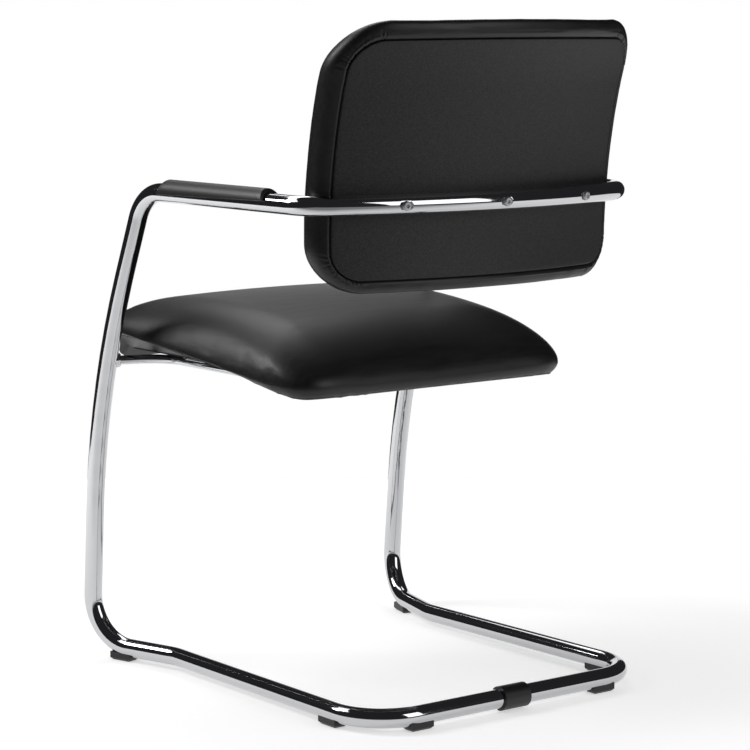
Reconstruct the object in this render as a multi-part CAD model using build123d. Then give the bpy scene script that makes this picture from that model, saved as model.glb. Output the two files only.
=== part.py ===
from build123d import *
from functools import cache
import math
import os

# Visitor chair on a cantilever frame of one bent steel tube, in millimetres.
# +Z is up, the sitter faces -Y and +X is the sitter's left.
# While it is drawn, the rear floor bar runs along the X axis. The finished chair is then
# moved so that its origin is at the middle of its footprint, on the floor.

# Frame tube
TUBE_D = 24.0
TUBE_WALL = 2.0
REAR_SPAN = 436.0
KINK_SPAN = 423.0
FRONT_SPAN = 505.4
LEG_BEND_SPAN = 511.0
ARM_SPAN = 516.0
ARM_TOE_IN = 1.6
KINK_SETBACK = 420.0
FLOOR_DEPTH = 561.5
LEG_BEND_HEIGHT = 357.0
LEG_BEND_SETBACK = 25.4
ARM_SETBACK = 145.6
ARM_HEIGHT = 625.5
REAR_CORNER_R = 68.0
KINK_R = 60.0
FRONT_BEND_R = 63.0
LEG_BEND_R = 970.0
TOP_BEND_R = 60.0
BACK_BEND_R = 50.0
BACK_RAIL_R = 620.0
BACK_RAIL_SETBACK = 26.7

# Closing joint of the tube, and the clip that covers it
SPIGOT_LENGTH = 90.0
SPIGOT_WALL = 2.0
SPIGOT_FIT = 0.15
CLIP_LENGTH = 40.0
CLIP_WALL = 3.0
CLIP_FRONT_ANGLE = 140.0
CLIP_BOTTOM_ANGLE = -100.0

# Glides
GLIDE_LENGTH = 33.0
GLIDE_WIDTH = 20.0
GLIDE_BASE = 5.0
GLIDE_WRAP = 6.0
GLIDE_CHAMFER = 3.0
GLIDE_PEG_D = 6.0
GLIDE_PEG_LENGTH = 9.0
REAR_GLIDE_OFFSET = 147.0
RAIL_GLIDE_SETBACK = 77.0
FRONT_GLIDE_SETBACK = 507.0

# Arm pads
PAD_LENGTH = 220.0
PAD_START = 46.0
PAD_CROWN = 5.5
PAD_SIDE = 3.6
PAD_DROP = 1.5
PAD_END_SLANT = 10.0
PAD_SHOULDER = 0.72
PAD_PEG_D = 8.0
PAD_PEG_LENGTH = 7.0
PAD_PEG_INSET = 45.0

# Seat support bar, welded to the legs
BAR_D = 12.0
BAR_HEIGHT = 400.0
BAR_SPAN = 364.0
BAR_TOE = 18.0
BAR_FRONT_R = 48.0
BAR_REAR_R = 45.0
BAR_DEPTH = 285.0
WELD_REACH = 6.0
WELD_LEG = 4.5
TAB_T = 3.0
TAB_LENGTH = 44.0
TAB_WIDTH = 34.0
TAB_HOLE_INSET = 22.0
TAB_FRONT = 95.0
TAB_REAR = 225.0

# Seat
SEAT_WIDTH = 456.0
SEAT_DEPTH = 436.0
SEAT_OVERHANG = 68.0
SEAT_CORNER_R = 60.0
SEAT_SIDE_ROLL = 40.0
SEAT_FRONT_TOP = 470.0
SEAT_REAR_TOP = 440.0
SEAT_CROWN = 8.0
SEAT_FRONT_LIP = 396.0
SEAT_REAR_LIP = 380.0
SEAT_FRONT_SIDE = 428.0
SEAT_REAR_SIDE = 408.0
SEAT_FRONT_RISE = 16.0
SEAT_FRONT_ROLL = 44.0
SEAT_REAR_ROLL = 32.0
SEAT_LIP_TUCK = 0.6
COVER_T = 1.2
SEAT_BOARD_T = 12.0
SEAT_BOARD_INSET = 24.0
DUST_COVER_T = 1.0
DUST_COVER_INSET = 6.0

# Backrest
BACK_WIDTH = 465.0
BACK_BOTTOM = 517.0
BACK_TOP = 842.0
BACK_CORNER_R = 60.0
BACK_FRONT_ROLL = 30.0
BACK_REAR_ROLL = 25.0
BACK_THICKNESS = 45.0
BACK_EDGE_AHEAD = 11.0
BACK_ROLL_DEPTH = 0.8
BACK_CROWN = 6.0
BACK_LEAN = 4.0
BACK_LUMBAR_R = 720.0
PANEL_T = 3.0
PANEL_SIDE_INSET = 16.5
PANEL_TOP_INSET = 24.0
PANEL_BOTTOM_INSET = 18.0
PANEL_CORNER_R = 50.0
BACK_BOARD_T = 10.0
BACK_BOARD_EDGE = 5.0
PUSH_CLIP_D = 6.0
PUSH_CLIP_INSET = 34.0

# Fasteners: M6 button-head screws with tee nuts
SCREW_D = 6.0
HEAD_D = 10.5
HEAD_H = 3.3
HEAD_DOME = 0.76
SOCKET_ACROSS = 4.0
SOCKET_DEPTH = 2.0
TEE_BARREL_D = 8.0
TEE_FLANGE_D = 19.0
TEE_FLANGE_T = 1.5
BACK_SCREW_PITCH = 139.5
SCREW_FLAT_D = 14.5
SCREW_FLAT_DEPTH = 1.2

# Sections of the cushions: turns of the rounded corner at which they are drawn, steps across the
# straight part on each side, and the bulge that keeps a flat side a shallow arc
CUSHION_SECTION_TURNS = [90, 75, 60, 45, 30, 15, 4]
CUSHION_STEPS = 3
LEAST_BULGE = 1.0

# Clearances
SEAT_GAP = 0.2
HOLE_GAP = 0.3
PANEL_GAP = 0.4
CUT_LENGTH = 72.0

# Worked out from the sizes above
TUBE_R = TUBE_D / 2
FLOOR_Z = GLIDE_BASE + TUBE_R
LEG_Y = -FLOOR_DEPTH
BAR_R = BAR_D / 2
TAB_TOP = BAR_HEIGHT + BAR_R + TAB_T
BOARD_BOTTOM = TAB_TOP + DUST_COVER_T
BOARD_TOP = BOARD_BOTTOM + SEAT_BOARD_T
RAIL_Y = -BACK_RAIL_SETBACK
RAIL_AXIS_Y = RAIL_Y - BACK_RAIL_R
SIDES = {"left": 1, "right": -1}


def corner_reach(before, corner, after, radius):
    """Length that a bend of this radius takes from each of the two runs that meet at a corner."""
    turn = math.radians((corner - before).get_angle(after - corner))
    return radius * math.tan(turn / 2)


def point_at_height(path, height):
    """Point of a rising path at the given height."""
    low = 0.0
    high = 1.0
    while high - low > 1e-9:
        middle = (low + high) / 2
        if (path @ middle).Z < height:
            low = middle
        else:
            high = middle
    return path @ low


def mirrored(shape):
    """The same piece on the sitter's right."""
    return mirror(shape, about=Plane.YZ)


def swept(path, section):
    """Sweep a section, drawn on the XY plane, along a path."""
    start = Plane(origin=path @ 0, z_dir=path % 0)
    return sweep(start * section, path=path)


def frame_corners():
    """Corners of the left half of the tube's centre line, from the closing joint to the arm."""
    return [
        Vector(0, 0, FLOOR_Z),
        Vector(REAR_SPAN / 2, 0, FLOOR_Z),
        Vector(KINK_SPAN / 2, -KINK_SETBACK, FLOOR_Z),
        Vector(FRONT_SPAN / 2, LEG_Y, FLOOR_Z),
        Vector(LEG_BEND_SPAN / 2, LEG_Y + LEG_BEND_SETBACK, LEG_BEND_HEIGHT),
        Vector(ARM_SPAN / 2, LEG_Y + ARM_SETBACK, ARM_HEIGHT),
    ]


def arm_direction():
    """Direction of the left arm, towards the back rail."""
    toe = math.radians(ARM_TOE_IN)
    return Vector(-math.sin(toe), math.cos(toe), 0)


def back_bend():
    """Start, middle and end of the bend from the left arm into the back rail."""
    corner = frame_corners()[5]
    along = arm_direction()
    inward = Vector(-along.Y, along.X, 0)
    axis = Vector(0, RAIL_AXIS_Y, ARM_HEIGHT)
    first = corner + inward * BACK_BEND_R - axis
    half = first.dot(along)
    rest = first.dot(first) - (BACK_RAIL_R - BACK_BEND_R) ** 2
    run = -half + math.sqrt(half * half - rest)
    centre = corner + inward * BACK_BEND_R + along * run
    start = corner + along * run
    end = axis + (centre - axis) * (BACK_RAIL_R / (BACK_RAIL_R - BACK_BEND_R))
    middle = centre + ((start - centre) + (end - centre)).normalized() * BACK_BEND_R
    return start, middle, end


def flare_split():
    """Point on the flared front run of the rail where the floor run ends and the leg run starts."""
    _, corner, kink, foot, bend, _ = frame_corners()
    kink_reach = corner_reach(corner, kink, foot, KINK_R)
    foot_reach = corner_reach(kink, foot, bend, FRONT_BEND_R)
    run = (foot - kink).length
    return kink + (foot - kink).normalized() * ((run + kink_reach - foot_reach) / 2)


def floor_path():
    """Centre line of the left floor run: half the rear bar and the rail, past its kink."""
    joint, corner, kink, _, _, _ = frame_corners()
    return FilletPolyline(joint, corner, kink, flare_split(), radius=[REAR_CORNER_R, KINK_R])


@cache
def leg_path():
    """Centre line of the left leg run: front bend, leg, top bend and arm."""
    _, _, _, foot, bend, top = frame_corners()
    arm_end = back_bend()[0]
    radii = [FRONT_BEND_R, LEG_BEND_R, TOP_BEND_R]
    return FilletPolyline(flare_split(), foot, bend, top, arm_end, radius=radii)


def back_path():
    """Centre line of the curved back rail with its two bends."""
    start, middle, end = back_bend()
    right = [Vector(-p.X, p.Y, p.Z) for p in (end, middle, start)]
    left_bend = ThreePointArc(start, middle, end)
    rail = ThreePointArc(end, Vector(0, RAIL_Y, ARM_HEIGHT), right[0])
    right_bend = ThreePointArc(*right)
    return Wire([left_bend.edge(), rail.edge(), right_bend.edge()])


def tube_section(extra=0.0):
    """Ring section of the frame tube, or with extra the full disc, that much larger."""
    if extra:
        return Circle(TUBE_R + extra)
    return Circle(TUBE_R) - Circle(TUBE_R - TUBE_WALL)


def on_rail(angle):
    """Frame on the back rail's centre line, with Z pointing to the rear, square to the backrest."""
    turn = math.radians(angle)
    lean = math.radians(BACK_LEAN)
    out = Vector(math.sin(turn), math.cos(turn), 0)
    centre = Vector(0, RAIL_AXIS_Y, ARM_HEIGHT) + out * BACK_RAIL_R
    across = Vector(math.cos(turn), -math.sin(turn), 0)
    square = out * math.cos(lean) - Vector(0, 0, math.sin(lean))
    return Plane(origin=centre, x_dir=across, z_dir=square)


def back_screw_frames():
    """Frames of the three backrest screws on the rail."""
    angle = math.degrees(math.asin(BACK_SCREW_PITCH / BACK_RAIL_R))
    return [on_rail(turn) for turn in (-angle, 0, angle)]


def bar_between(frame, diameter, low, high):
    """Round bar along a frame's Z axis, from one height to another."""
    return frame * Pos(0, 0, low) * extrude(Circle(diameter / 2), high - low)


def button_screw(frame, length):
    """Button-head screw: the head's seat lies on the frame's XY plane and the shank runs along -Z."""
    dome_r = HEAD_D / 4
    profile = make_face(
        Polyline((0, 0), (HEAD_D / 2, 0), (HEAD_D / 2, HEAD_H / 4))
        + ThreePointArc(
            (HEAD_D / 2, HEAD_H / 4),
            (dome_r + HEAD_D / 6, HEAD_H * HEAD_DOME),
            (dome_r, HEAD_H),
        )
        + Polyline((dome_r, HEAD_H), (0, HEAD_H), (0, 0))
    )
    head = revolve(Plane.XZ * profile, Axis.Z)
    socket = RegularPolygon(SOCKET_ACROSS / 2, 6, major_radius=False)
    head -= Pos(0, 0, HEAD_H - SOCKET_DEPTH) * extrude(socket, HEAD_H)
    shank = Pos(0, 0, -length) * extrude(Circle(SCREW_D / 2), length)
    return frame * (head + shank)


def tee_nut(frame, length):
    """Tee nut: its flange lies above the frame's XY plane and its barrel runs along -Z."""
    body = Pos(0, 0, -length) * extrude(Circle(TEE_BARREL_D / 2), length)
    body += extrude(Circle(TEE_FLANGE_D / 2), TEE_FLANGE_T)
    body -= Pos(0, 0, -length) * extrude(Circle(SCREW_D / 2 + SEAT_GAP / 2), length + TEE_FLANGE_T)
    return frame * body


def glide_frames():
    """Frames on the tube's centre line for the three left glides, with Y along the tube."""
    _, corner, kink, foot, _, _ = frame_corners()
    rail = (kink - corner).normalized()
    flare = (foot - kink).normalized()
    rail_point = corner + rail * (RAIL_GLIDE_SETBACK / -rail.Y)
    front_point = kink + flare * ((FRONT_GLIDE_SETBACK - KINK_SETBACK) / -flare.Y)
    places = {
        "rear": (Vector(REAR_GLIDE_OFFSET, 0, FLOOR_Z), Vector(1, 0, 0)),
        "rail": (rail_point, rail),
        "front": (front_point, flare),
    }
    frames = {}
    for name, (point, along) in places.items():
        across = Vector(along.Y, -along.X, 0)
        frames[name] = Plane(origin=point, x_dir=across, z_dir=(0, 0, 1))
    return frames


def tube_clearance():
    """Space that the left half of the floor tube takes, with the clearance of what seats on it."""
    disc = tube_section(SEAT_GAP)
    return swept(floor_path(), disc) + swept(leg_path(), disc)


def glide(frame, clearance):
    """Glide with a saddle for the tube, chamfered ends and a peg that goes up into the tube."""
    height = GLIDE_BASE + GLIDE_WRAP
    block = Box(GLIDE_WIDTH, GLIDE_LENGTH, height, align=(Align.CENTER, Align.CENTER, Align.MIN))
    block = chamfer(block.faces().sort_by(Axis.Z)[0].edges(), GLIDE_CHAMFER)
    body = frame * Pos(0, 0, -FLOOR_Z) * block - clearance
    peg_top = GLIDE_PEG_LENGTH - TUBE_R
    peg = bar_between(frame, GLIDE_PEG_D, -TUBE_R - GLIDE_BASE / 2, peg_top)
    return body + peg


def floor_tube():
    """Left floor run of the frame tube, with the holes of its glide pegs."""
    frames = glide_frames()
    tube = swept(floor_path(), tube_section())
    for name in ("rear", "rail"):
        tube -= bar_between(frames[name], GLIDE_PEG_D + HOLE_GAP, -TUBE_D, 0)
    return tube


def pad_frame():
    """Frame on the left arm's centre line at the front end of its pad, with Y along the arm."""
    along = arm_direction()
    start = frame_corners()[5] + along * PAD_START
    across = Vector(along.Y, -along.X, 0)
    return Plane(origin=start, x_dir=across, z_dir=(0, 0, 1))


def pad_peg_places():
    """Distances of the two pad pegs from the pad's front end."""
    return [PAD_PEG_INSET, PAD_LENGTH - PAD_PEG_INSET]


def leg_tube():
    """Left leg run of the frame tube, with the holes for its glide, its pad and the seat bar's weld."""
    tube = swept(leg_path(), tube_section())
    tube -= bar_between(glide_frames()["front"], GLIDE_PEG_D + HOLE_GAP, -TUBE_D, 0)
    for place in pad_peg_places():
        hole = Pos(0, place, 0) * extrude(Circle((PAD_PEG_D + HOLE_GAP) / 2), TUBE_D)
        tube -= pad_frame() * hole
    return tube


def back_tube():
    """Back rail with a pressed flat and a through hole at each screw."""
    tube = swept(back_path(), tube_section())
    seat = TUBE_R - SCREW_FLAT_DEPTH
    for frame in back_screw_frames():
        tube -= bar_between(frame, SCREW_FLAT_D, seat, TUBE_D)
        tube -= bar_between(frame, SCREW_D + HOLE_GAP, -TUBE_D, TUBE_D)
    return tube


def joint_spigot():
    """Sleeve inside the closing joint of the frame tube."""
    outer = TUBE_R - TUBE_WALL - SPIGOT_FIT
    ring = Circle(outer) - Circle(outer - SPIGOT_WALL)
    start = Plane(origin=(-SPIGOT_LENGTH / 2, 0, FLOOR_Z), z_dir=(1, 0, 0))
    return extrude(start * ring, SPIGOT_LENGTH)


def floor_clip():
    """Clip round the rear bar: open towards the front and below, like a sprung C."""
    inner = TUBE_R + SEAT_GAP
    outer = inner + CLIP_WALL
    middle = (CLIP_FRONT_ANGLE + CLIP_BOTTOM_ANGLE) / 2

    def at(radius, angle):
        turn = math.radians(angle)
        return (radius * math.cos(turn), radius * math.sin(turn))

    outline = (
        ThreePointArc(at(outer, CLIP_FRONT_ANGLE), at(outer, middle), at(outer, CLIP_BOTTOM_ANGLE))
        + Line(at(outer, CLIP_BOTTOM_ANGLE), at(inner, CLIP_BOTTOM_ANGLE))
        + ThreePointArc(at(inner, CLIP_BOTTOM_ANGLE), at(inner, middle), at(inner, CLIP_FRONT_ANGLE))
        + Line(at(inner, CLIP_FRONT_ANGLE), at(outer, CLIP_FRONT_ANGLE))
    )
    start = Plane(origin=(-CLIP_LENGTH / 2, 0, FLOOR_Z), x_dir=(0, 1, 0), z_dir=(1, 0, 0))
    return extrude(start * make_face(outline), CLIP_LENGTH)


def arm_pad():
    """Left arm pad: a saddle on the top half of the arm tube, with slanted ends and two pegs."""
    half_width = TUBE_R + PAD_SIDE
    crown = TUBE_R + PAD_CROWN
    section = make_face(
        ThreePointArc((half_width, 0), (half_width * PAD_SHOULDER, crown * PAD_SHOULDER), (0, crown))
        + ThreePointArc((0, crown), (-half_width * PAD_SHOULDER, crown * PAD_SHOULDER), (-half_width, 0))
        + Polyline((-half_width, 0), (-half_width, -PAD_DROP), (half_width, -PAD_DROP), (half_width, 0))
    )
    along = Plane(origin=(0, 0, 0), x_dir=(-1, 0, 0), z_dir=(0, 1, 0))
    body = extrude(along * section, PAD_LENGTH)
    slant = PAD_END_SLANT
    side = make_face(
        Polyline(
            (0, -PAD_DROP),
            (slant, crown),
            (PAD_LENGTH - slant, crown),
            (PAD_LENGTH, -PAD_DROP),
            (0, -PAD_DROP),
        )
    )
    side_plane = Plane(origin=(-half_width, 0, 0), x_dir=(0, 1, 0), z_dir=(1, 0, 0))
    body &= extrude(side_plane * side, 2 * half_width)
    tube = Pos(0, PAD_LENGTH / 2, 0) * Rot(90, 0, 0) * Cylinder(TUBE_R + SEAT_GAP, PAD_LENGTH)
    body -= tube
    for place in pad_peg_places():
        peg = extrude(Circle(PAD_PEG_D / 2), PAD_PEG_LENGTH + PAD_CROWN / 2)
        body += Pos(0, place, TUBE_R - PAD_PEG_LENGTH) * peg
    return pad_frame() * body


def bar_corners():
    """Corners of the left half of the seat bar, from the leg's centre line to the middle at the rear."""
    start = point_at_height(leg_path(), BAR_HEIGHT)
    inward = start.X - BAR_SPAN / 2
    bend_y = start.Y + inward * math.tan(math.radians(BAR_TOE))
    return [
        start,
        Vector(BAR_SPAN / 2, bend_y, BAR_HEIGHT),
        Vector(BAR_SPAN / 2, start.Y + BAR_DEPTH, BAR_HEIGHT),
        Vector(0, start.Y + BAR_DEPTH, BAR_HEIGHT),
    ]


@cache
def leg_clearance(extra):
    """Space that the left leg takes, with a clearance."""
    return swept(leg_path(), tube_section(extra))


def seat_bar():
    """Bent round bar from leg to leg, coped to the tubes at both ends."""
    start, front, rear, _ = bar_corners()
    right = [Vector(-p.X, p.Y, p.Z) for p in (rear, front, start)]
    radii = [BAR_FRONT_R, BAR_REAR_R, BAR_REAR_R, BAR_FRONT_R]
    path = FilletPolyline(start, front, rear, *right, radius=radii)
    leg = leg_clearance(SEAT_GAP)
    return swept(path, Circle(BAR_R)) - leg - mirrored(leg)


def seat_weld():
    """Weld bead round the left end of the seat bar, against the leg."""
    start, front, _, _ = bar_corners()
    frame = Plane(origin=start, z_dir=front - start)
    bead = Cone(
        BAR_R + WELD_LEG,
        BAR_R + SEAT_GAP,
        WELD_REACH + WELD_LEG,
        align=(Align.CENTER, Align.CENTER, Align.MIN),
    )
    bead = Pos(0, 0, TUBE_R - WELD_LEG) * bead
    bead -= Cylinder(BAR_R + SEAT_GAP / 2, 2 * TUBE_D)
    return frame * bead - leg_clearance(SEAT_GAP / 2)


def seat_screw_places():
    """Frames of the four seat screws, with Z up, at the underside of their tabs."""
    start = bar_corners()[0]
    across = BAR_SPAN / 2 - TAB_HOLE_INSET
    places = []
    for side in SIDES.values():
        for back in (TAB_FRONT, TAB_REAR):
            places.append(Plane(origin=(side * across, start.Y + back, BAR_HEIGHT + BAR_R)))
    return places


def seat_tabs():
    """Four plates on the seat bar, each with a screw hole."""
    tabs = []
    for frame in seat_screw_places():
        side = math.copysign(1, frame.origin.X)
        middle = TAB_HOLE_INSET + BAR_R - TAB_WIDTH / 2
        plate = Box(TAB_WIDTH, TAB_LENGTH, TAB_T, align=(Align.CENTER, Align.CENTER, Align.MIN))
        plate = frame * Pos(side * middle, 0, 0) * plate
        tabs.append(plate - bar_between(frame, SCREW_D + HOLE_GAP, -TAB_T, 2 * TAB_T))
    return tabs


def seat_screws():
    """Four screws from below, through the tabs into the seat board."""
    length = TAB_T + DUST_COVER_T + SEAT_BOARD_T
    return [button_screw(frame * Rot(180, 0, 0), length) for frame in seat_screw_places()]


def seat_tee_nuts():
    """Four tee nuts in the top of the seat board."""
    rise = BOARD_TOP - BAR_HEIGHT - BAR_R
    return [tee_nut(frame * Pos(0, 0, rise), SEAT_BOARD_T) for frame in seat_screw_places()]


def rounded_plate(width, depth, radius, middle_y, bottom, thickness):
    """Flat plate with rounded corners, centred on the chair's middle plane."""
    outline = Pos(0, middle_y) * RectangleRounded(width, depth, radius)
    return Pos(0, 0, bottom) * extrude(outline, thickness)


def seat_front():
    """Y of the seat's front edge."""
    return bar_corners()[0].Y - SEAT_OVERHANG


def round_off(distance, reach):
    """Drop of a quarter circle of this reach, at a distance past its start."""
    past = min(max(distance, 0.0), reach)
    return reach - math.sqrt(reach * reach - past * past)


def edge_thickness(past_edge, roll):
    """Share of its full thickness that a cushion keeps near its edge, which a roll rounds off."""
    return 1 - round_off(past_edge + roll, roll) / roll


def closed_section(stations):
    """Closed outline of arcs through points in order, two arcs meeting at every second point."""
    count = len(stations)
    arcs = []
    for first in range(0, count, 2):
        points = [stations[(first + step) % count] for step in range(3)]
        arcs.append(ThreePointArc(*points).edge())
    return Face(Wire(arcs))


def section_places(half_width, corner_r):
    """Places across a cushion for its sections, closer together towards its rounded corners."""
    start = half_width - corner_r
    outer = [start + corner_r * math.cos(math.radians(turn)) for turn in CUSHION_SECTION_TURNS]
    places = [start * step / CUSHION_STEPS for step in range(CUSHION_STEPS)] + outer
    return [-place for place in reversed(places[1:])] + places


def seat_section(across, inset):
    """Section of the upholstered seat at a distance from its middle plane, drawn in by an inset."""
    half_width = SEAT_WIDTH / 2 - inset
    reach = abs(across)
    thick = edge_thickness(reach - half_width, SEAT_SIDE_ROLL - inset)
    corner = round_off(reach - half_width + SEAT_CORNER_R, SEAT_CORNER_R)
    rise = SEAT_FRONT_RISE * (reach / half_width) ** 4
    front = seat_front() + inset + corner
    rear = seat_front() + SEAT_DEPTH - inset - corner

    def level(height, side):
        return side + (height - side) * thick

    front_top = level(SEAT_FRONT_TOP - inset, SEAT_FRONT_SIDE)
    front_low = level(SEAT_FRONT_LIP + inset + rise, SEAT_FRONT_SIDE)
    rear_top = level(SEAT_REAR_TOP - inset, SEAT_REAR_SIDE)
    rear_low = level(SEAT_REAR_LIP + inset, SEAT_REAR_SIDE)
    middle = (front + rear) / 2
    middle_side = (SEAT_FRONT_SIDE + SEAT_REAR_SIDE) / 2
    middle_top = (front_top + rear_top) / 2 + SEAT_CROWN * thick
    middle_low = max(level(BOARD_BOTTOM + inset, middle_side), (front_low + rear_low) / 2)
    front_in = SEAT_FRONT_ROLL * thick
    rear_in = SEAT_REAR_ROLL * thick
    points = [
        (front + front_in * SEAT_LIP_TUCK, front_low),
        (front, (front_top + front_low) / 2),
        (front + front_in, front_top),
        (middle, middle_top + LEAST_BULGE),
        (rear - rear_in, rear_top),
        (rear, (rear_top + rear_low) / 2),
        (rear - rear_in * SEAT_LIP_TUCK, rear_low),
        (middle, middle_low + LEAST_BULGE * thick),
    ]
    return closed_section([Vector(across, y, z) for y, z in points])


@cache
def seat_form(inset):
    """Whole upholstered seat as a crowned cushion with rolled edges, drawn in by an inset."""
    places = section_places(SEAT_WIDTH / 2 - inset, SEAT_CORNER_R)
    return loft([seat_section(place, inset) for place in places], ruled=True)


def seat_plate(inset, bottom, thickness):
    """Flat plate that follows the seat's outline, drawn in by an inset."""
    middle = seat_front() + SEAT_DEPTH / 2
    radius = SEAT_CORNER_R - inset
    return rounded_plate(
        SEAT_WIDTH - 2 * inset, SEAT_DEPTH - 2 * inset, radius, middle, bottom, thickness
    )


@cache
def seat_pocket():
    """Space under the seat's foam that the board and what is below it take."""
    drop = BOARD_TOP - SEAT_REAR_LIP
    return seat_plate(SEAT_BOARD_INSET - HOLE_GAP, SEAT_REAR_LIP - drop, 2 * drop)


def seat_board():
    """Seat board with the four holes of its tee nuts."""
    board = seat_plate(SEAT_BOARD_INSET, BOARD_BOTTOM, SEAT_BOARD_T)
    for frame in seat_screw_places():
        board -= bar_between(frame, TEE_BARREL_D + HOLE_GAP, 0, BOARD_TOP - BAR_HEIGHT)
    return board


def dust_cover():
    """Thin sheet under the seat board, with holes for the screws."""
    sheet = seat_plate(SEAT_BOARD_INSET + DUST_COVER_INSET, TAB_TOP, DUST_COVER_T)
    for frame in seat_screw_places():
        sheet -= bar_between(frame, SCREW_D + HOLE_GAP, 0, BOARD_TOP - BAR_HEIGHT)
    return sheet


def seat_foam():
    """Foam on and round the seat board, with room for the tee nuts."""
    foam = seat_form(COVER_T) - seat_pocket()
    rise = BOARD_TOP - BAR_HEIGHT - BAR_R
    room = TEE_FLANGE_T + SEAT_GAP
    for frame in seat_screw_places():
        foam -= bar_between(frame, TEE_FLANGE_D + HOLE_GAP, rise - room, rise + room)
    return foam


def seat_cover():
    """Cover over the seat's foam, open below at the board."""
    return seat_form(0) - seat_form(COVER_T) - seat_pocket()


def back_curve_centre():
    """Distance from the rail's axis and height of the centre of the backrest's upright curve."""
    lean = math.radians(BACK_LEAN)
    touch = BACK_RAIL_R - (TUBE_R + SEAT_GAP) / math.cos(lean)
    return touch + BACK_LUMBAR_R * math.cos(lean), ARM_HEIGHT - BACK_LUMBAR_R * math.sin(lean)


def back_radius(height, ahead=0.0):
    """Distance from the rail's axis to the panel's rear face at a height, or to a face ahead of it."""
    centre, level = back_curve_centre()
    radius = BACK_LUMBAR_R + ahead
    return centre - math.sqrt(radius * radius - (height - level) ** 2)


def back_slab(rear, front):
    """Slab that follows the backrest's two curves, between two distances ahead of its rear face."""
    margin = BACK_WIDTH / 4
    low = BACK_BOTTOM - margin
    high = BACK_TOP + margin
    middle = (low + high) / 2

    def at(height, ahead):
        return (RAIL_AXIS_Y + back_radius(height, ahead), height)

    outline = (
        ThreePointArc(at(low, rear), at(middle, rear), at(high, rear))
        + Line(at(high, rear), at(high, front))
        + ThreePointArc(at(high, front), at(middle, front), at(low, front))
        + Line(at(low, front), at(low, rear))
    )
    axis = Axis((0, RAIL_AXIS_Y, 0), (0, 0, 1))
    half_turn = math.degrees(math.asin((BACK_WIDTH / 2 + BACK_FRONT_ROLL) / BACK_RAIL_R))
    profile = Plane.YZ * make_face(outline)
    return revolve(profile.rotate(axis, -half_turn), axis, 2 * half_turn)


def back_outline(side, top, bottom, radius):
    """Prism along Y with the backrest's outline, drawn in at the sides, top and bottom."""
    width = BACK_WIDTH - 2 * side
    height = BACK_TOP - BACK_BOTTOM - top - bottom
    level = (BACK_TOP - top + BACK_BOTTOM + bottom) / 2
    front = Plane(origin=(0, RAIL_AXIS_Y, level), x_dir=(1, 0, 0), z_dir=(0, 1, 0))
    return extrude(front * RectangleRounded(width, height, radius), 2 * BACK_RAIL_R)


def panel_outline(grow):
    """Prism with the rear panel's outline, grown by a margin."""
    return back_outline(
        PANEL_SIDE_INSET - grow,
        PANEL_TOP_INSET - grow,
        PANEL_BOTTOM_INSET - grow,
        PANEL_CORNER_R + grow,
    )


def on_back(across, height, ahead):
    """Frame on the backrest at a place, with Z pointing to the rear, square to its plan curve."""
    radius = back_radius(height, ahead)
    turn = math.asin(across / radius)
    out = Vector(math.sin(turn), math.cos(turn), 0)
    origin = Vector(0, RAIL_AXIS_Y, height) + out * radius
    return Plane(origin=origin, x_dir=(0, 0, 1), z_dir=out)


def push_clip_frames():
    """Frames of the four push-in clips, on the front face of the rear panel."""
    across = BACK_WIDTH / 2 - PANEL_SIDE_INSET - PUSH_CLIP_INSET
    heights = [
        BACK_BOTTOM + PANEL_BOTTOM_INSET + PUSH_CLIP_INSET,
        BACK_TOP - PANEL_TOP_INSET - PUSH_CLIP_INSET,
    ]
    return [on_back(side * across, height, PANEL_T) for side in SIDES.values() for height in heights]


def rear_panel():
    """Rear panel with the holes of the backrest screws."""
    panel = back_slab(0, PANEL_T) & panel_outline(0)
    for frame in back_screw_frames():
        panel -= bar_between(frame, SCREW_D + HOLE_GAP, -CUT_LENGTH, 0)
    return panel


def push_clips():
    """Four push-in clips that hold the rear panel to the board."""
    stem = BACK_BOARD_T - SEAT_GAP
    clips = []
    for frame in push_clip_frames():
        clip = Pos(0, 0, -stem) * extrude(Circle(PUSH_CLIP_D / 2), stem)
        barb = Pos(0, 0, -stem) * Cone(
            PUSH_CLIP_D / 4,
            PUSH_CLIP_D / 2,
            stem / 4,
            align=(Align.CENTER, Align.CENTER, Align.MIN),
        )
        tip = Pos(0, 0, -stem) * extrude(Circle(PUSH_CLIP_D), stem / 4)
        clips.append(frame * (clip - tip + barb) - back_slab(-TUBE_D, PANEL_T + SEAT_GAP))
    return clips


def board_outline(grow):
    """Prism with the backrest board's outline, grown by a margin."""
    return panel_outline(BACK_BOARD_EDGE + grow)


def back_board():
    """Curved board of the backrest, with holes for the tee nuts and the push-in clips."""
    board = back_slab(PANEL_T, PANEL_T + BACK_BOARD_T) & board_outline(0)
    for frame in back_screw_frames():
        board -= bar_between(frame, TEE_BARREL_D + HOLE_GAP, -CUT_LENGTH, 0)
    for frame in push_clip_frames():
        board -= bar_between(frame, PUSH_CLIP_D + HOLE_GAP, -2 * BACK_BOARD_T, BACK_BOARD_T)
    return board


def board_front_reach():
    """Distance from the rail's centre line forward to the front of the backrest board."""
    return BACK_RAIL_R - back_radius(ARM_HEIGHT, PANEL_T + BACK_BOARD_T)


def back_tee_nuts():
    """Three tee nuts in the front of the backrest board."""
    reach = board_front_reach() + SEAT_GAP
    nuts = []
    for frame in back_screw_frames():
        nuts.append(tee_nut(frame * Pos(0, 0, -reach) * Rot(180, 0, 0), BACK_BOARD_T))
    return nuts


def back_screws():
    """Three screws through the back rail into the backrest board."""
    seat = TUBE_R - SCREW_FLAT_DEPTH
    length = seat + board_front_reach()
    return [button_screw(frame * Pos(0, 0, seat), length) for frame in back_screw_frames()]


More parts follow.
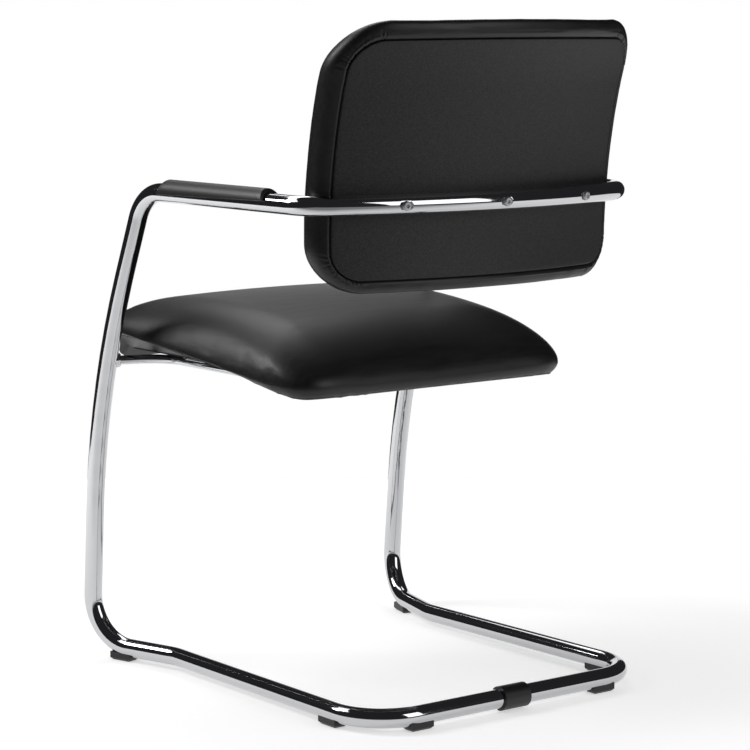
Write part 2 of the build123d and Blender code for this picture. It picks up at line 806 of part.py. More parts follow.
def back_section(across, inset):
    """Section of the upholstered backrest at a distance from its middle plane, drawn in by an inset."""
    half_width = BACK_WIDTH / 2 - inset
    reach = abs(across)
    thick = edge_thickness(reach - half_width, BACK_FRONT_ROLL - inset)
    rear_thick = edge_thickness(reach - half_width, BACK_REAR_ROLL - inset)
    corner = round_off(reach - half_width + BACK_CORNER_R, BACK_CORNER_R)
    top = BACK_TOP - inset - corner
    bottom = BACK_BOTTOM + inset + corner
    crown = BACK_CROWN * (1 - (reach / half_width) ** 2)
    edge = BACK_EDGE_AHEAD
    rear_roll = (edge - inset) * rear_thick
    front_roll = (BACK_THICKNESS - edge - inset) * thick
    rear = edge - rear_roll
    front = edge + front_roll
    rear_shoulder = rear_roll * BACK_ROLL_DEPTH
    front_shoulder = front_roll * BACK_ROLL_DEPTH
    middle = (top + bottom) / 2

    def at(height, ahead):
        radius = back_radius(height)
        return Vector(across, RAIL_AXIS_Y + math.sqrt(radius * radius - reach * reach) - ahead, height)

    return closed_section(
        [
            at(bottom + rear_shoulder, rear),
            at(middle, rear),
            at(top - rear_shoulder, rear),
            at(top, edge),
            at(top - front_shoulder, front),
            at(middle, front + crown * thick + LEAST_BULGE),
            at(bottom + front_shoulder, front),
            at(bottom, edge),
        ]
    )


@cache
def back_form(inset):
    """Whole upholstered backrest as a crowned cushion with a rolled edge, drawn in by an inset."""
    places = section_places(BACK_WIDTH / 2 - inset, BACK_CORNER_R)
    return loft([back_section(place, inset) for place in places], ruled=True)


def back_pocket(rear, outline):
    """Space that the board takes in the backrest, opened to the rear by an outline."""
    front = PANEL_T + BACK_BOARD_T + HOLE_GAP
    board = back_slab(PANEL_T - HOLE_GAP, front) & board_outline(HOLE_GAP)
    return board + (back_slab(-BACK_THICKNESS, rear) & outline)


def back_foam():
    """Foam in front of and round the backrest board, with room for the tee nuts."""
    foam = back_form(COVER_T) - back_pocket(PANEL_T, board_outline(HOLE_GAP))
    reach = board_front_reach() + SEAT_GAP + TEE_FLANGE_T + SEAT_GAP
    for frame in back_screw_frames():
        foam -= bar_between(frame, TEE_FLANGE_D + HOLE_GAP, -reach, 0)
    return foam


def back_cover():
    """Cover over the backrest's foam, open at the rear panel."""
    return back_form(0) - back_form(COVER_T) - back_pocket(PANEL_T, panel_outline(PANEL_GAP))


def pairs(name, shape):
    """The left piece and its mirror image, under their two names."""
    return {f"{name}_left": shape, f"{name}_right": mirrored(shape)}


def chair_pieces():
    """Every piece of the chair by its name."""
    pieces = {}
    pieces.update(pairs("floor_tube", floor_tube()))
    pieces.update(pairs("leg_arm_tube", leg_tube()))
    pieces["back_rail_tube"] = back_tube()
    pieces["joint_spigot"] = joint_spigot()
    pieces["floor_bar_clip"] = floor_clip()
    clearance = tube_clearance()
    for place, frame in glide_frames().items():
        pieces.update(pairs(f"glide_{place}", glide(frame, clearance)))
    pieces.update(pairs("arm_pad", arm_pad()))
    pieces["seat_support_bar"] = seat_bar()
    weld = seat_weld()
    pieces["seat_bar_welds"] = Compound([weld, mirrored(weld)])
    pieces["seat_mount_tabs"] = Compound(seat_tabs())
    pieces["seat_screws"] = Compound(seat_screws())
    pieces["seat_tee_nuts"] = Compound(seat_tee_nuts())
    pieces["seat_dust_cover"] = dust_cover()
    pieces["seat_board"] = seat_board()
    pieces["seat_foam"] = seat_foam()
    pieces["seat_cover"] = seat_cover()
    pieces["backrest_rear_panel"] = rear_panel()
    pieces["backrest_board"] = back_board()
    pieces["backrest_panel_clips"] = Compound(push_clips())
    pieces["backrest_foam"] = back_foam()
    pieces["backrest_cover"] = back_cover()
    pieces["backrest_screws"] = Compound(back_screws())
    pieces["backrest_tee_nuts"] = Compound(back_tee_nuts())
    return pieces


def main():
    """Build the chair, put its origin under its middle and write one file for each piece."""
    os.makedirs("parts", exist_ok=True)
    pieces = chair_pieces()
    box = Compound(list(pieces.values())).bounding_box()
    to_origin = Pos(-box.center().X, -box.center().Y, -box.min.Z)
    for name, piece in pieces.items():
        export_step(to_origin * piece, f"parts/{name}.step")
    print("moved by", to_origin.position)


main()
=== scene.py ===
import logging
import math
from dataclasses import dataclass
from enum import Enum
from itertools import product

import bmesh
import bpy
import numpy as np
from mathutils import Matrix, Vector
from mathutils.kdtree import KDTree


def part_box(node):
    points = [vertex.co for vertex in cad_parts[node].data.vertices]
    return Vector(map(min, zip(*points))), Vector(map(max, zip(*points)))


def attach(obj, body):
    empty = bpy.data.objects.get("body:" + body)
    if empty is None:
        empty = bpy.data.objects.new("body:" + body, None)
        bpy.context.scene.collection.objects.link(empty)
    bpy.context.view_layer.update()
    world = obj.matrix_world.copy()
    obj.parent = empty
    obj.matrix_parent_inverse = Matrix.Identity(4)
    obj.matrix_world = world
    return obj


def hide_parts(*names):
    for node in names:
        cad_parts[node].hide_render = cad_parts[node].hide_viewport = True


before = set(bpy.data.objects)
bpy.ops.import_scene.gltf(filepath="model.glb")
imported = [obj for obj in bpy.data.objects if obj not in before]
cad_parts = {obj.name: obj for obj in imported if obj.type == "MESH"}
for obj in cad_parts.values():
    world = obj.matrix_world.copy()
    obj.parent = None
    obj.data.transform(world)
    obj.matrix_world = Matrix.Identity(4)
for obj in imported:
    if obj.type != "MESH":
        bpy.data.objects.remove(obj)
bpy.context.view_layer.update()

# Visitor chair on a cantilever tube frame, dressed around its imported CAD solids.
# Sizes are in millimetres and are turned to metres where a mesh is made. +Z is up,
# the sitter faces -Y and +X is the sitter's left. Places along Y count from the
# centre line of the rear floor bar, as in the part's source.

MM = 0.001
BODY = "root"
TUBE_RADIUS = 12.0
FLOOR_TUBE_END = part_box("floor_tube_left")[1]
REAR_BAR = np.array([0.0, FLOOR_TUBE_END.y / MM - TUBE_RADIUS, 0.0])
FLOOR_BAR_Z = FLOOR_TUBE_END.z / MM - TUBE_RADIUS
UP = np.array([0.0, 0.0, 1.0])
OTHER_SIDE = np.array([-1.0, 1.0, 1.0])
OFF_EVERY_RUN = np.array([0.31, 0.47, 0.82])
WELD_MM = 0.02
LEAST_BEND_STEPS = 3
ROUND_EDGE_STEPS = 3
ROUND_EDGE_LIMIT = math.radians(40)

# The covers swell in a short cloth simulation on a coarser copy of the cushion.
SIMULATION_CELL_MM = 8.0
SIMULATION_FRAMES = 20
HELD_WITHIN_MM = 0.1
CARRIED_FROM = 8
LEAST_MOVE = 1e-9
CLOTH_SETTINGS = {
    "use_pressure": True,
    "vertex_group_mass": "held",
    "quality": 4,
    "tension_stiffness": 60.0,
    "compression_stiffness": 60.0,
    "bending_stiffness": 8.0,
}

log = logging.getLogger("visitor_chair")


class Side(Enum):
    """The chair's two sides, as the sign of X."""

    LEFT = 1
    RIGHT = -1


def linear(hex_colour: str) -> tuple[float, float, float, float]:
    """Turn an sRGB hex colour into linear values.

    Args:
        hex_colour: Six hex digits, such as "1c1c1e".

    Returns:
        Linear red, green, blue and an alpha of one.
    """
    channels = []
    for start in (0, 2, 4):
        value = int(hex_colour[start : start + 2], 16) / 255
        channels.append(value / 12.92 if value <= 0.04045 else ((value + 0.055) / 1.055) ** 2.4)
    return (*channels, 1.0)


def add_node(
    tree: bpy.types.NodeTree, kind: str, inputs: dict | None = None, **settings: object
) -> bpy.types.Node:
    """Add a node with its settings, its constant inputs and its links.

    Args:
        tree: The node tree that gets the node.
        kind: Blender's type name of the node.
        inputs: Socket names or numbers with a constant, an output socket, or a node for its first output.
        settings: Properties of the node.

    Returns:
        The new node.
    """
    node = tree.nodes.new(kind)
    for name, value in settings.items():
        setattr(node, name, value)
    for socket, value in (inputs or {}).items():
        given = value.outputs[0] if isinstance(value, bpy.types.Node) else value
        if isinstance(given, bpy.types.NodeSocket):
            tree.links.new(given, node.inputs[socket])
        else:
            node.inputs[socket].default_value = given
    return node


def empty_material(name: str) -> tuple[bpy.types.Material, bpy.types.NodeTree]:
    """Make a material without nodes.

    Args:
        name: The material's name.

    Returns:
        The material and its node tree.
    """
    material = bpy.data.materials.new(name)
    material.use_nodes = True
    material.node_tree.nodes.clear()
    return material, material.node_tree


def set_ramp(node: bpy.types.Node, places: tuple[float, float], colours: tuple[str, str]) -> None:
    """Give a colour ramp its two stops.

    Args:
        node: The colour ramp node.
        places: Positions of the stops.
        colours: Their sRGB hex colours.
    """
    for element, place, colour in zip(node.color_ramp.elements, places, colours):
        element.position = place
        element.color = linear(colour)


def per_metre(size_mm: float) -> float:
    """Texture scale at which one cell of a pattern has a real size."""
    return 1.0 / (size_mm * MM)


@dataclass(frozen=True)
class PlatedSteel:
    """Plated steel: a metal whose roughness drifts in faint patches."""

    name: str
    colour: str
    patch_mm: float
    detail: float
    roughness: tuple[float, float]

    def build(self) -> bpy.types.Material:
        """Make the material.

        Returns:
            The material.
        """
        material, tree = empty_material(self.name)
        place = add_node(tree, "ShaderNodeTexCoord").outputs["Object"]
        cloud = {"Vector": place, "Scale": per_metre(self.patch_mm), "Detail": self.detail}
        patches = add_node(tree, "ShaderNodeTexNoise", cloud)
        smooth, dull = self.roughness
        rough = add_node(tree, "ShaderNodeMapRange", {"Value": patches, "To Min": smooth, "To Max": dull})
        look = {"Base Color": linear(self.colour), "Metallic": 1.0, "Roughness": rough}
        shader = add_node(tree, "ShaderNodeBsdfPrincipled", look)
        add_node(tree, "ShaderNodeOutputMaterial", {"Surface": shader})
        return material


@dataclass(frozen=True)
class FauxLeather:
    """PVC-coated upholstery cloth, embossed with a fine hide grain: black, with a broad soft sheen."""

    name: str = "embossed_faux_leather"
    colours: tuple[str, str] = ("111112", "1b1b1c")
    stops: tuple[float, float] = (0.3, 0.7)
    roughness: tuple[float, float] = (0.37, 0.49)
    ior: float = 1.46
    grain_mm: float = 1.6
    grain_scatter: float = 0.9
    streak_mm: float = 5.0
    streak_stretch: float = 7.0
    streak_detail: float = 5.0
    bump_mm: float = 0.12
    bump_strength: float = 0.35

    def build(self) -> bpy.types.Material:
        """Make the material: pebble grain drawn a little coarse so that it shows, over drawn streaks.

        Returns:
            The material.
        """
        material, tree = empty_material(self.name)
        place = add_node(tree, "ShaderNodeTexCoord").outputs["Object"]
        cells = {"Vector": place, "Scale": per_metre(self.grain_mm), "Randomness": self.grain_scatter}
        pebble = add_node(tree, "ShaderNodeTexVoronoi", cells, feature="SMOOTH_F1")
        stretch = (1.0 / self.streak_stretch, 1.0, 1.0)
        along = add_node(tree, "ShaderNodeMapping", {"Vector": place, "Scale": stretch})
        drawn = {"Vector": along, "Scale": per_metre(self.streak_mm), "Detail": self.streak_detail}
        streak = add_node(tree, "ShaderNodeTexNoise", drawn)
        colour = add_node(tree, "ShaderNodeValToRGB", {"Fac": streak})
        set_ramp(colour, self.stops, self.colours)
        relief = add_node(tree, "ShaderNodeMath", {0: pebble, 1: streak}, operation="ADD")
        height = {"Height": relief, "Strength": self.bump_strength, "Distance": self.bump_mm * MM}
        bump = add_node(tree, "ShaderNodeBump", height)
        smooth, dull = self.roughness
        rough = add_node(tree, "ShaderNodeMapRange", {"Value": streak, "To Min": smooth, "To Max": dull})
        look = {"Base Color": colour, "Roughness": rough, "IOR": self.ior, "Normal": bump}
        shader = add_node(tree, "ShaderNodeBsdfPrincipled", look)
        add_node(tree, "ShaderNodeOutputMaterial", {"Surface": shader})
        return material


@dataclass(frozen=True)
class GrainedSolid:
    """A black solid with a grain of two close colours, in relief where it is moulded."""

    name: str
    colours: tuple[str, str]
    roughness: float
    grain_mm: float
    bump_mm: float = 0.0
    stretch: float = 1.0
    detail: float = 3.0
    grain_roughness: float = 0.6
    stops: tuple[float, float] = (0.35, 0.65)
    bump_strength: float = 0.5
    ior: float = 1.5

    def build(self) -> bpy.types.Material:
        """Make the material.

        Returns:
            The material.
        """
        material, tree = empty_material(self.name)
        place = add_node(tree, "ShaderNodeTexCoord").outputs["Object"]
        along = add_node(tree, "ShaderNodeMapping", {"Vector": place, "Scale": (self.stretch, 1.0, 1.0)})
        speckle = {"Vector": along, "Scale": per_metre(self.grain_mm), "Detail": self.detail}
        grain = add_node(tree, "ShaderNodeTexNoise", speckle | {"Roughness": self.grain_roughness})
        colour = add_node(tree, "ShaderNodeValToRGB", {"Fac": grain})
        set_ramp(colour, self.stops, self.colours)
        look = {"Base Color": colour, "Roughness": self.roughness, "IOR": self.ior}
        if self.bump_mm:
            height = {"Height": grain, "Strength": self.bump_strength, "Distance": self.bump_mm * MM}
            look["Normal"] = add_node(tree, "ShaderNodeBump", height)
        shader = add_node(tree, "ShaderNodeBsdfPrincipled", look)
        add_node(tree, "ShaderNodeOutputMaterial", {"Surface": shader})
        return material


class Finishes:
    """Every finish of the chair, built once."""

    def __init__(self) -> None:
        """Build the materials."""
        # Bright chrome on polished tube: a mirror with the faintest haze of handling.
        self.chrome = PlatedSteel("chrome_plated_steel", "c4c5c7", 55.0, 3.0, (0.035, 0.085)).build()
        # Zinc on hardware: grey, with a soft and slightly mottled shine.
        self.zinc = PlatedSteel("zinc_plated_steel", "c3c5c7", 4.0, 4.0, (0.5, 0.65)).build()
        # Embossed, coated cloth: black, with a broad soft sheen over a fine pebble grain.
        self.leather = FauxLeather().build()
        # Pressed vinyl: dull, with a speckle drawn at 2 mm, coarser than the real 1 mm, so that it shows.
        self.panel = GrainedSolid("grained_vinyl_panel", ("0f0f10", "2a2a2c"), 0.55, 2.0, 0.25).build()
        # Soft moulded pads: a little lighter and glossier than the panel, nearly smooth.
        self.pad = GrainedSolid("grained_soft_pvc_pad", ("242425", "303032"), 0.42, 1.1, 0.06).build()
        # Hard moulded glides and clip: darker, with a satin skin.
        self.plastic = GrainedSolid("moulded_black_polyamide", ("131314", "1a1a1b"), 0.42, 1.0, 0.03).build()
        # Needled felt under the seat: no shine at all, and a fibrous relief; it is also laid on the seat
        # cover's downward faces as painted shade.
        self.felt_and_painted_shade = GrainedSolid("black_needle_felt", ("0f0f10", "1b1b1c"), 0.95, 1.5, 0.3).build()
        # Stained boards: nearly black, with the lines of the grain just showing along X.
        wood = ("100f0f", "1c1b1a")
        self.plywood = GrainedSolid("black_stained_plywood", wood, 0.7, 6.0, 0.0, 0.08, 6.0, 0.5).build()


def mesh_piece(
    name: str, points: np.ndarray, faces: list[tuple[int, ...]], material: bpy.types.Material
) -> bpy.types.Object:
    """Make a clean, smooth-shaded mesh object that rides on the chair.

    Args:
        name: The piece's name.
        points: Vertices in millimetres, Y from the rear bar.
        faces: Vertex numbers of each face.
        material: The piece's finish.

    Returns:
        The new object.
    """
    data = bpy.data.meshes.new(name)
    data.from_pydata(((np.asarray(points, float) + REAR_BAR) * MM).tolist(), [], faces)
    data.materials.append(material)
    data.polygons.foreach_set("use_smooth", [True] * len(data.polygons))
    piece = bpy.data.objects.new(name, data)
    bpy.context.scene.collection.objects.link(piece)
    mesh = bmesh.new()
    mesh.from_mesh(data)
    bmesh.ops.remove_doubles(mesh, verts=mesh.verts, dist=WELD_MM * MM)
    bmesh.ops.dissolve_degenerate(mesh, edges=mesh.edges, dist=WELD_MM * MM / 2)
    bmesh.ops.recalc_face_normals(mesh, faces=mesh.faces)
    mesh.to_mesh(data)
    mesh.free()
    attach(piece, BODY)
    return piece


def round_edges(piece: bpy.types.Object, width_mm: float) -> None:
    """Round a piece's sharp edges and keep the result.

    Args:
        piece: The mesh object.
        width_mm: Width of the rounding.
    """
    bevel = piece.modifiers.new("edges", "BEVEL")
    bevel.width = width_mm * MM
    bevel.segments = ROUND_EDGE_STEPS
    bevel.limit_method = "ANGLE"
    bevel.angle_limit = ROUND_EDGE_LIMIT
    bevel.harden_normals = False
    shaped = piece.evaluated_get(bpy.context.evaluated_depsgraph_get())
    mesh = bpy.data.meshes.new_from_object(shaped)
    piece.modifiers.clear()
    piece.data = mesh


def grid_faces(rows: int, columns: int, close_rows: bool, close_columns: bool) -> list[tuple[int, ...]]:
    """Faces of a grid of vertices, stored row by row.

    Args:
        rows: Number of rows.
        columns: Number of columns.
        close_rows: Whether the last row joins the first.
        close_columns: Whether the last column joins the first.

    Returns:
        Four vertex numbers for each face.
    """
    here = np.arange(rows * columns).reshape(rows, columns)
    beside = np.roll(here, -1, 1)
    quads = np.stack([here, beside, np.roll(beside, -1, 0), np.roll(here, -1, 0)], axis=-1)
    quads = quads[: rows if close_rows else -1, : columns if close_columns else -1]
    return [tuple(quad) for quad in quads.reshape(-1, 4).tolist()]


def capped_faces(grid: np.ndarray) -> list[tuple[int, ...]]:
    """Faces of closed rows of vertices, with one face over the first and one over the last row.

    Args:
        grid: The rows, each with its points.

    Returns:
        The faces.
    """
    rows, columns = grid.shape[:2]
    faces = grid_faces(rows, columns, False, True)
    faces.append(tuple(range(columns)))
    faces.append(tuple(range((rows - 1) * columns, rows * columns)))
    return faces


def unit(vector: np.ndarray) -> np.ndarray:
    """The vector at length one."""
    return vector / np.linalg.norm(vector)


def unit_rows(vectors: np.ndarray) -> np.ndarray:
    """Each row at length one."""
    return vectors / np.linalg.norm(vectors, axis=1)[:, None]


def bent_line(corners: list[np.ndarray], radii: list[float], step_deg: float = 2.0) -> list[np.ndarray]:
    """Centre line through corners, each rounded by an arc.

    Args:
        corners: The corner points, ends included.
        radii: Bend radius at each inner corner.
        step_deg: Turn between two points on an arc.

    Returns:
        Points along the line, only at ends and on arcs.
    """
    line = [corners[0]]
    for before, corner, after, radius in zip(corners, corners[1:], corners[2:], radii):
        into = unit(corner - before)
        out = unit(after - corner)
        turn = math.acos(np.clip(into @ out, -1, 1))
        centre = corner + unit(out - into) * (radius / math.cos(turn / 2))
        start = corner - into * radius * math.tan(turn / 2) - centre
        steps = max(LEAST_BEND_STEPS, int(math.degrees(turn) / step_deg))
        for angle in np.linspace(0, turn, steps + 1):
            line.append(centre + start * math.cos(angle) + into * radius * math.sin(angle))
    line.append(corners[-1])
    return line


def divided(line: list[np.ndarray], step_mm: float) -> list[np.ndarray]:
    """The same line with long runs cut into equal steps.

    Args:
        line: Points of the line.
        step_mm: Longest run that stays whole.

    Returns:
        The points with those of the cuts.
    """
    dense = [line[0]]
    for first, last in zip(line, line[1:]):
        pieces = max(1, math.ceil(np.linalg.norm(last - first) / step_mm))
        dense.extend(first + (last - first) * (piece / pieces) for piece in range(1, pieces + 1))
    return dense


def tube_grid(line: list[np.ndarray], radius: float, sides: int, closed: bool) -> np.ndarray:
    """Rings of a round tube along a line, without twist.

    Args:
        line: Points of the centre line.
        radius: Radius of the tube.
        sides: Vertices in each ring.
        closed: Whether the line closes on itself.

    Returns:
        An array of rings, sides and coordinates.
    """
    centre = np.array(line)
    ahead = np.roll(centre, -1, 0) - centre
    behind = centre - np.roll(centre, 1, 0)
    if not closed:
        ahead[-1] = behind[-1]
        behind[0] = ahead[0]
    along = unit_rows(unit_rows(ahead) + unit_rows(behind))
    angles = np.linspace(0, 2 * math.pi, sides, endpoint=False)[:, None]
    rings = []
    up = unit(np.cross(along[0], OFF_EVERY_RUN))
    for point, direction in zip(centre, along):
        up = unit(up - direction * (up @ direction))
        across = np.cross(direction, up)
        rings.append(point + radius * (np.cos(angles) * up + np.sin(angles) * across))
    return np.array(rings)


@dataclass
class TubeFrame:
    """The bent chrome tube: floor loop, legs, arms and back rail in one closed run."""

    finishes: Finishes
    radius: float = TUBE_RADIUS
    rear_half: float = 218.0
    kink_half: float = 211.5
    front_half: float = 252.7
    leg_bend_half: float = 255.5
    arm_half: float = 258.0
    arm_toe_in: float = 1.6
    kink_setback: float = 420.0
    floor_depth: float = 561.5
    leg_bend_height: float = 357.0
    leg_bend_setback: float = 25.4
    arm_setback: float = 145.6
    arm_height: float = 625.5
    bend_radii: tuple[float, ...] = (68.0, 60.0, 63.0, 970.0, 60.0)
    back_bend_radius: float = 50.0
    back_bend_steps: int = 30
    longest_step: float = 12.0
    rail_radius: float = 620.0
    rail_setback: float = 26.7
    rail_steps: int = 60
    angle_decimals: int = 6
    screw_pitch: float = 139.5
    backrest_lean: float = 4.0
    flat_radius: float = 7.25
    flat_depth: float = 1.2
    flat_blend: float = 1.2
    flat_reach: float = 11.0
    flat_steps: int = 29
    sides: int = 96

    def corners(self) -> list[np.ndarray]:
        """Corners of the left half of the centre line, from the rear bar's middle to the arm.

        Returns:
            The corners.
        """
        front = -self.floor_depth
        places = (
            (0.0, 0.0, FLOOR_BAR_Z),
            (self.rear_half, 0.0, FLOOR_BAR_Z),
            (self.kink_half, -self.kink_setback, FLOOR_BAR_Z),
            (self.front_half, front, FLOOR_BAR_Z),
            (self.leg_bend_half, front + self.leg_bend_setback, self.leg_bend_height),
            (self.arm_half, front + self.arm_setback, self.arm_height),
        )
        return [np.array(place) for place in places]

    def arm_direction(self) -> np.ndarray:
        """Direction of the left arm, towards the back."""
        toe = math.radians(self.arm_toe_in)
        return np.array([-math.sin(toe), math.cos(toe), 0.0])

    def rail_axis(self) -> np.ndarray:
        """Point on the upright axis that the back rail curves round."""
        return np.array([0.0, -self.rail_setback - self.rail_radius, self.arm_height])

    def rail_direction(self, angle: float) -> np.ndarray:
        """Level direction from the rail's axis to the rail, at an angle from straight back."""
        return np.array([math.sin(angle), math.cos(angle), 0.0])

    def back_bend(self) -> tuple[np.ndarray, np.ndarray, np.ndarray]:
        """Start, centre and end of the bend from the left arm into the rail.

        Returns:
            The three points.
        """
        corner = self.corners()[-1]
        along = self.arm_direction()
        inward = np.array([-along[1], along[0], 0.0])
        first = corner + inward * self.back_bend_radius - self.rail_axis()
        half = first @ along
        rest = first @ first - (self.rail_radius - self.back_bend_radius) ** 2
        start = corner + along * (-half + math.sqrt(half * half - rest))
        centre = start + inward * self.back_bend_radius
        end = self.rail_axis() + unit(centre - self.rail_axis()) * self.rail_radius
        return start, centre, end

    def leg_line(self) -> list[np.ndarray]:
        """Left half of the centre line from the rear bar to the end of the arm."""
        return bent_line(self.corners() + [self.back_bend()[0]], list(self.bend_radii))

    def half_line(self) -> list[np.ndarray]:
        """Left half of the whole centre line, closely divided at the rail's screws.

        Returns:
            Points of the line.
        """
        start, centre, end = self.back_bend()
        line = self.leg_line()
        first = start - centre
        turn = math.acos((first @ (end - centre)) / self.back_bend_radius**2)
        aside = self.arm_direction() * self.back_bend_radius
        for angle in np.linspace(0, turn, self.back_bend_steps + 1)[1:]:
            line.append(centre + first * math.cos(angle) + aside * math.sin(angle))
        line = divided(line, self.longest_step)
        end_angle = math.asin(end[0] / self.rail_radius)
        stops = [end_angle * step / self.rail_steps for step in range(self.rail_steps)]
        near = np.linspace(-self.flat_reach, self.flat_reach, self.flat_steps) / self.rail_radius
        stops.extend(math.asin(self.screw_pitch / self.rail_radius) + near)
        stops.extend(angle for angle in near if angle >= 0)
        for angle in sorted(set(np.round(stops, self.angle_decimals)), reverse=True):
            line.append(self.rail_axis() + self.rail_radius * self.rail_direction(angle))
        return line

    def screw_frames(self) -> list[tuple[np.ndarray, np.ndarray]]:
        """Centre on the rail and rearward direction of each backrest screw.

        Returns:
            A pair for each screw.
        """
        lean = math.radians(self.backrest_lean)
        screw = math.asin(self.screw_pitch / self.rail_radius)
        frames = []
        for angle in (-screw, 0.0, screw):
            out = self.rail_direction(angle)
            square = out * math.cos(lean) - UP * math.sin(lean)
            frames.append((self.rail_axis() + out * self.rail_radius, square))
        return frames

    def press_flats(self, points: np.ndarray) -> None:
        """Press the round flats for the screw heads into the rail.

        Args:
            points: The tube's vertices, changed in place.
        """
        reach = self.flat_radius + self.flat_blend
        for centre, square in self.screw_frames():
            offset = points - centre
            height = offset @ square
            beside = np.linalg.norm(offset - height[:, None] * square, axis=1)
            blend = np.clip((reach - beside) / self.flat_blend, 0, 1)
            over = np.clip(height - (self.radius - self.flat_depth), 0, None)
            pressed = (height > 0) & (beside < reach)
            points[pressed] -= ((over * blend)[:, None] * square)[pressed]

    def closing_faces(self, grid: np.ndarray) -> list[tuple[int, ...]]:
        """Faces of the closed tube, with the last ring joined to the nearest vertices of the first.

        Args:
            grid: The rings of the tube.

        Returns:
            The faces.
        """
        rings, sides, _ = grid.shape
        faces = grid_faces(rings, sides, False, True)
        ahead = grid[-1].mean(0) - grid[0].mean(0)
        gaps = []
        for shift in range(sides):
            turned = np.roll(grid[0], -shift, 0) + ahead
            gaps.append(np.linalg.norm(turned - grid[-1], axis=1).sum())
        shift = int(np.argmin(gaps))
        last = (rings - 1) * sides
        for here in range(sides):
            beside = (here + 1) % sides
            faces.append((last + here, last + beside, (beside + shift) % sides, (here + shift) % sides))
        return faces

    def build(self) -> list[bpy.types.Object]:
        """Make the tube in place of the five CAD runs.

        Returns:
            The tube.
        """
        half = self.half_line()
        other = [point * OTHER_SIDE for point in reversed(half[1:-1])]
        grid = tube_grid(half + other, self.radius, self.sides, True)
        points = grid.reshape(-1, 3)
        self.press_flats(points)
        tube = mesh_piece("frame_tube", points, self.closing_faces(grid), self.finishes.chrome)
        runs = ("floor_tube_left", "floor_tube_right", "leg_arm_tube_left", "leg_arm_tube_right")
        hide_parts(*runs, "back_rail_tube")
        return [tube]


@dataclass
class SeatBar:
    """The bent bar under the seat, with its weld beads on the legs."""

    finishes: Finishes
    tube: TubeFrame
    radius: float = 6.0
    sides: int = 32
    height: float = 400.0
    half_span: float = 182.0
    toe: float = 18.0
    front_radius: float = 48.0
    rear_radius: float = 45.0
    depth: float = 285.0
    bend_step: float = 4.0
    longest_step: float = 15.0
    bead_radius: float = 3.4
    bead_stretch: float = 1.15
    bead_gap: float = 0.6
    bead_around: int = 40
    bead_sides: int = 10
    lump_mm: float = 0.45
    lumps: int = 9
    small_lump_mm: float = 0.27
    small_lumps: int = 17
    small_lump_start: float = 1.3

    def start(self) -> np.ndarray:
        """Point on the left leg's centre line at the bar's height.

        Returns:
            The point.
        """
        leg = self.tube.leg_line()
        for low, high in zip(leg, leg[1:]):
            if low[2] <= self.height < high[2]:
                return low + (high - low) * ((self.height - low[2]) / (high[2] - low[2]))
        raise ValueError("the leg doesn't reach the seat bar")

    def line(self) -> list[np.ndarray]:
        """Centre line from leg to leg.

        Returns:
            Points of the line.
        """
        start = self.start()
        bend_y = start[1] + (start[0] - self.half_span) * math.tan(math.radians(self.toe))
        left = [
            start,
            np.array([self.half_span, bend_y, self.height]),
            np.array([self.half_span, start[1] + self.depth, self.height]),
        ]
        right = [point * OTHER_SIDE for point in reversed(left)]
        radii = [self.front_radius, self.rear_radius, self.rear_radius, self.front_radius]
        return divided(bent_line(left + right, radii, self.bend_step), self.longest_step)

    def weld(self, side: Side) -> bpy.types.Object:
        """Make one lumpy weld bead where the bar meets a leg.

        Args:
            side: Which leg.

        Returns:
            The bead.
        """
        line = self.line()
        along = unit(line[1] - line[0])
        across = np.cross(along, UP)
        points = []
        for angle in np.linspace(0, 2 * math.pi, self.bead_around, endpoint=False):
            out = math.cos(angle) * UP + math.sin(angle) * across
            reach = self.bead_radius + self.lump_mm * math.sin(self.lumps * angle + side.value)
            reach += self.small_lump_mm * math.sin(self.small_lumps * angle + self.small_lump_start)
            foot = math.sqrt(self.tube.radius**2 - (self.radius * math.sin(angle)) ** 2)
            middle = line[0] + along * (foot + self.bead_gap) + out * self.radius
            for tilt in np.linspace(0, 2 * math.pi, self.bead_sides, endpoint=False):
                aside = math.sin(tilt) * along * self.bead_stretch
                points.append(middle + reach * (math.cos(tilt) * out + aside))
        points = np.array(points) * np.array([side.value, 1.0, 1.0])
        faces = grid_faces(self.bead_around, self.bead_sides, True, True)
        return mesh_piece(f"seat_bar_weld_{side.name.lower()}", points, faces, self.finishes.chrome)

    def build(self) -> list[bpy.types.Object]:
        """Make the bar and its beads.

        Returns:
            The pieces.
        """
        grid = tube_grid(self.line(), self.radius, self.sides, False)
        faces = grid_faces(*grid.shape[:2], False, True)
        bar = mesh_piece("seat_bar", grid.reshape(-1, 3), faces, self.finishes.chrome)
        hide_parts("seat_support_bar")
        welds = [self.weld(side) for side in Side]
        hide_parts("seat_bar_welds")
        pieces = [bar, *welds]
        return pieces


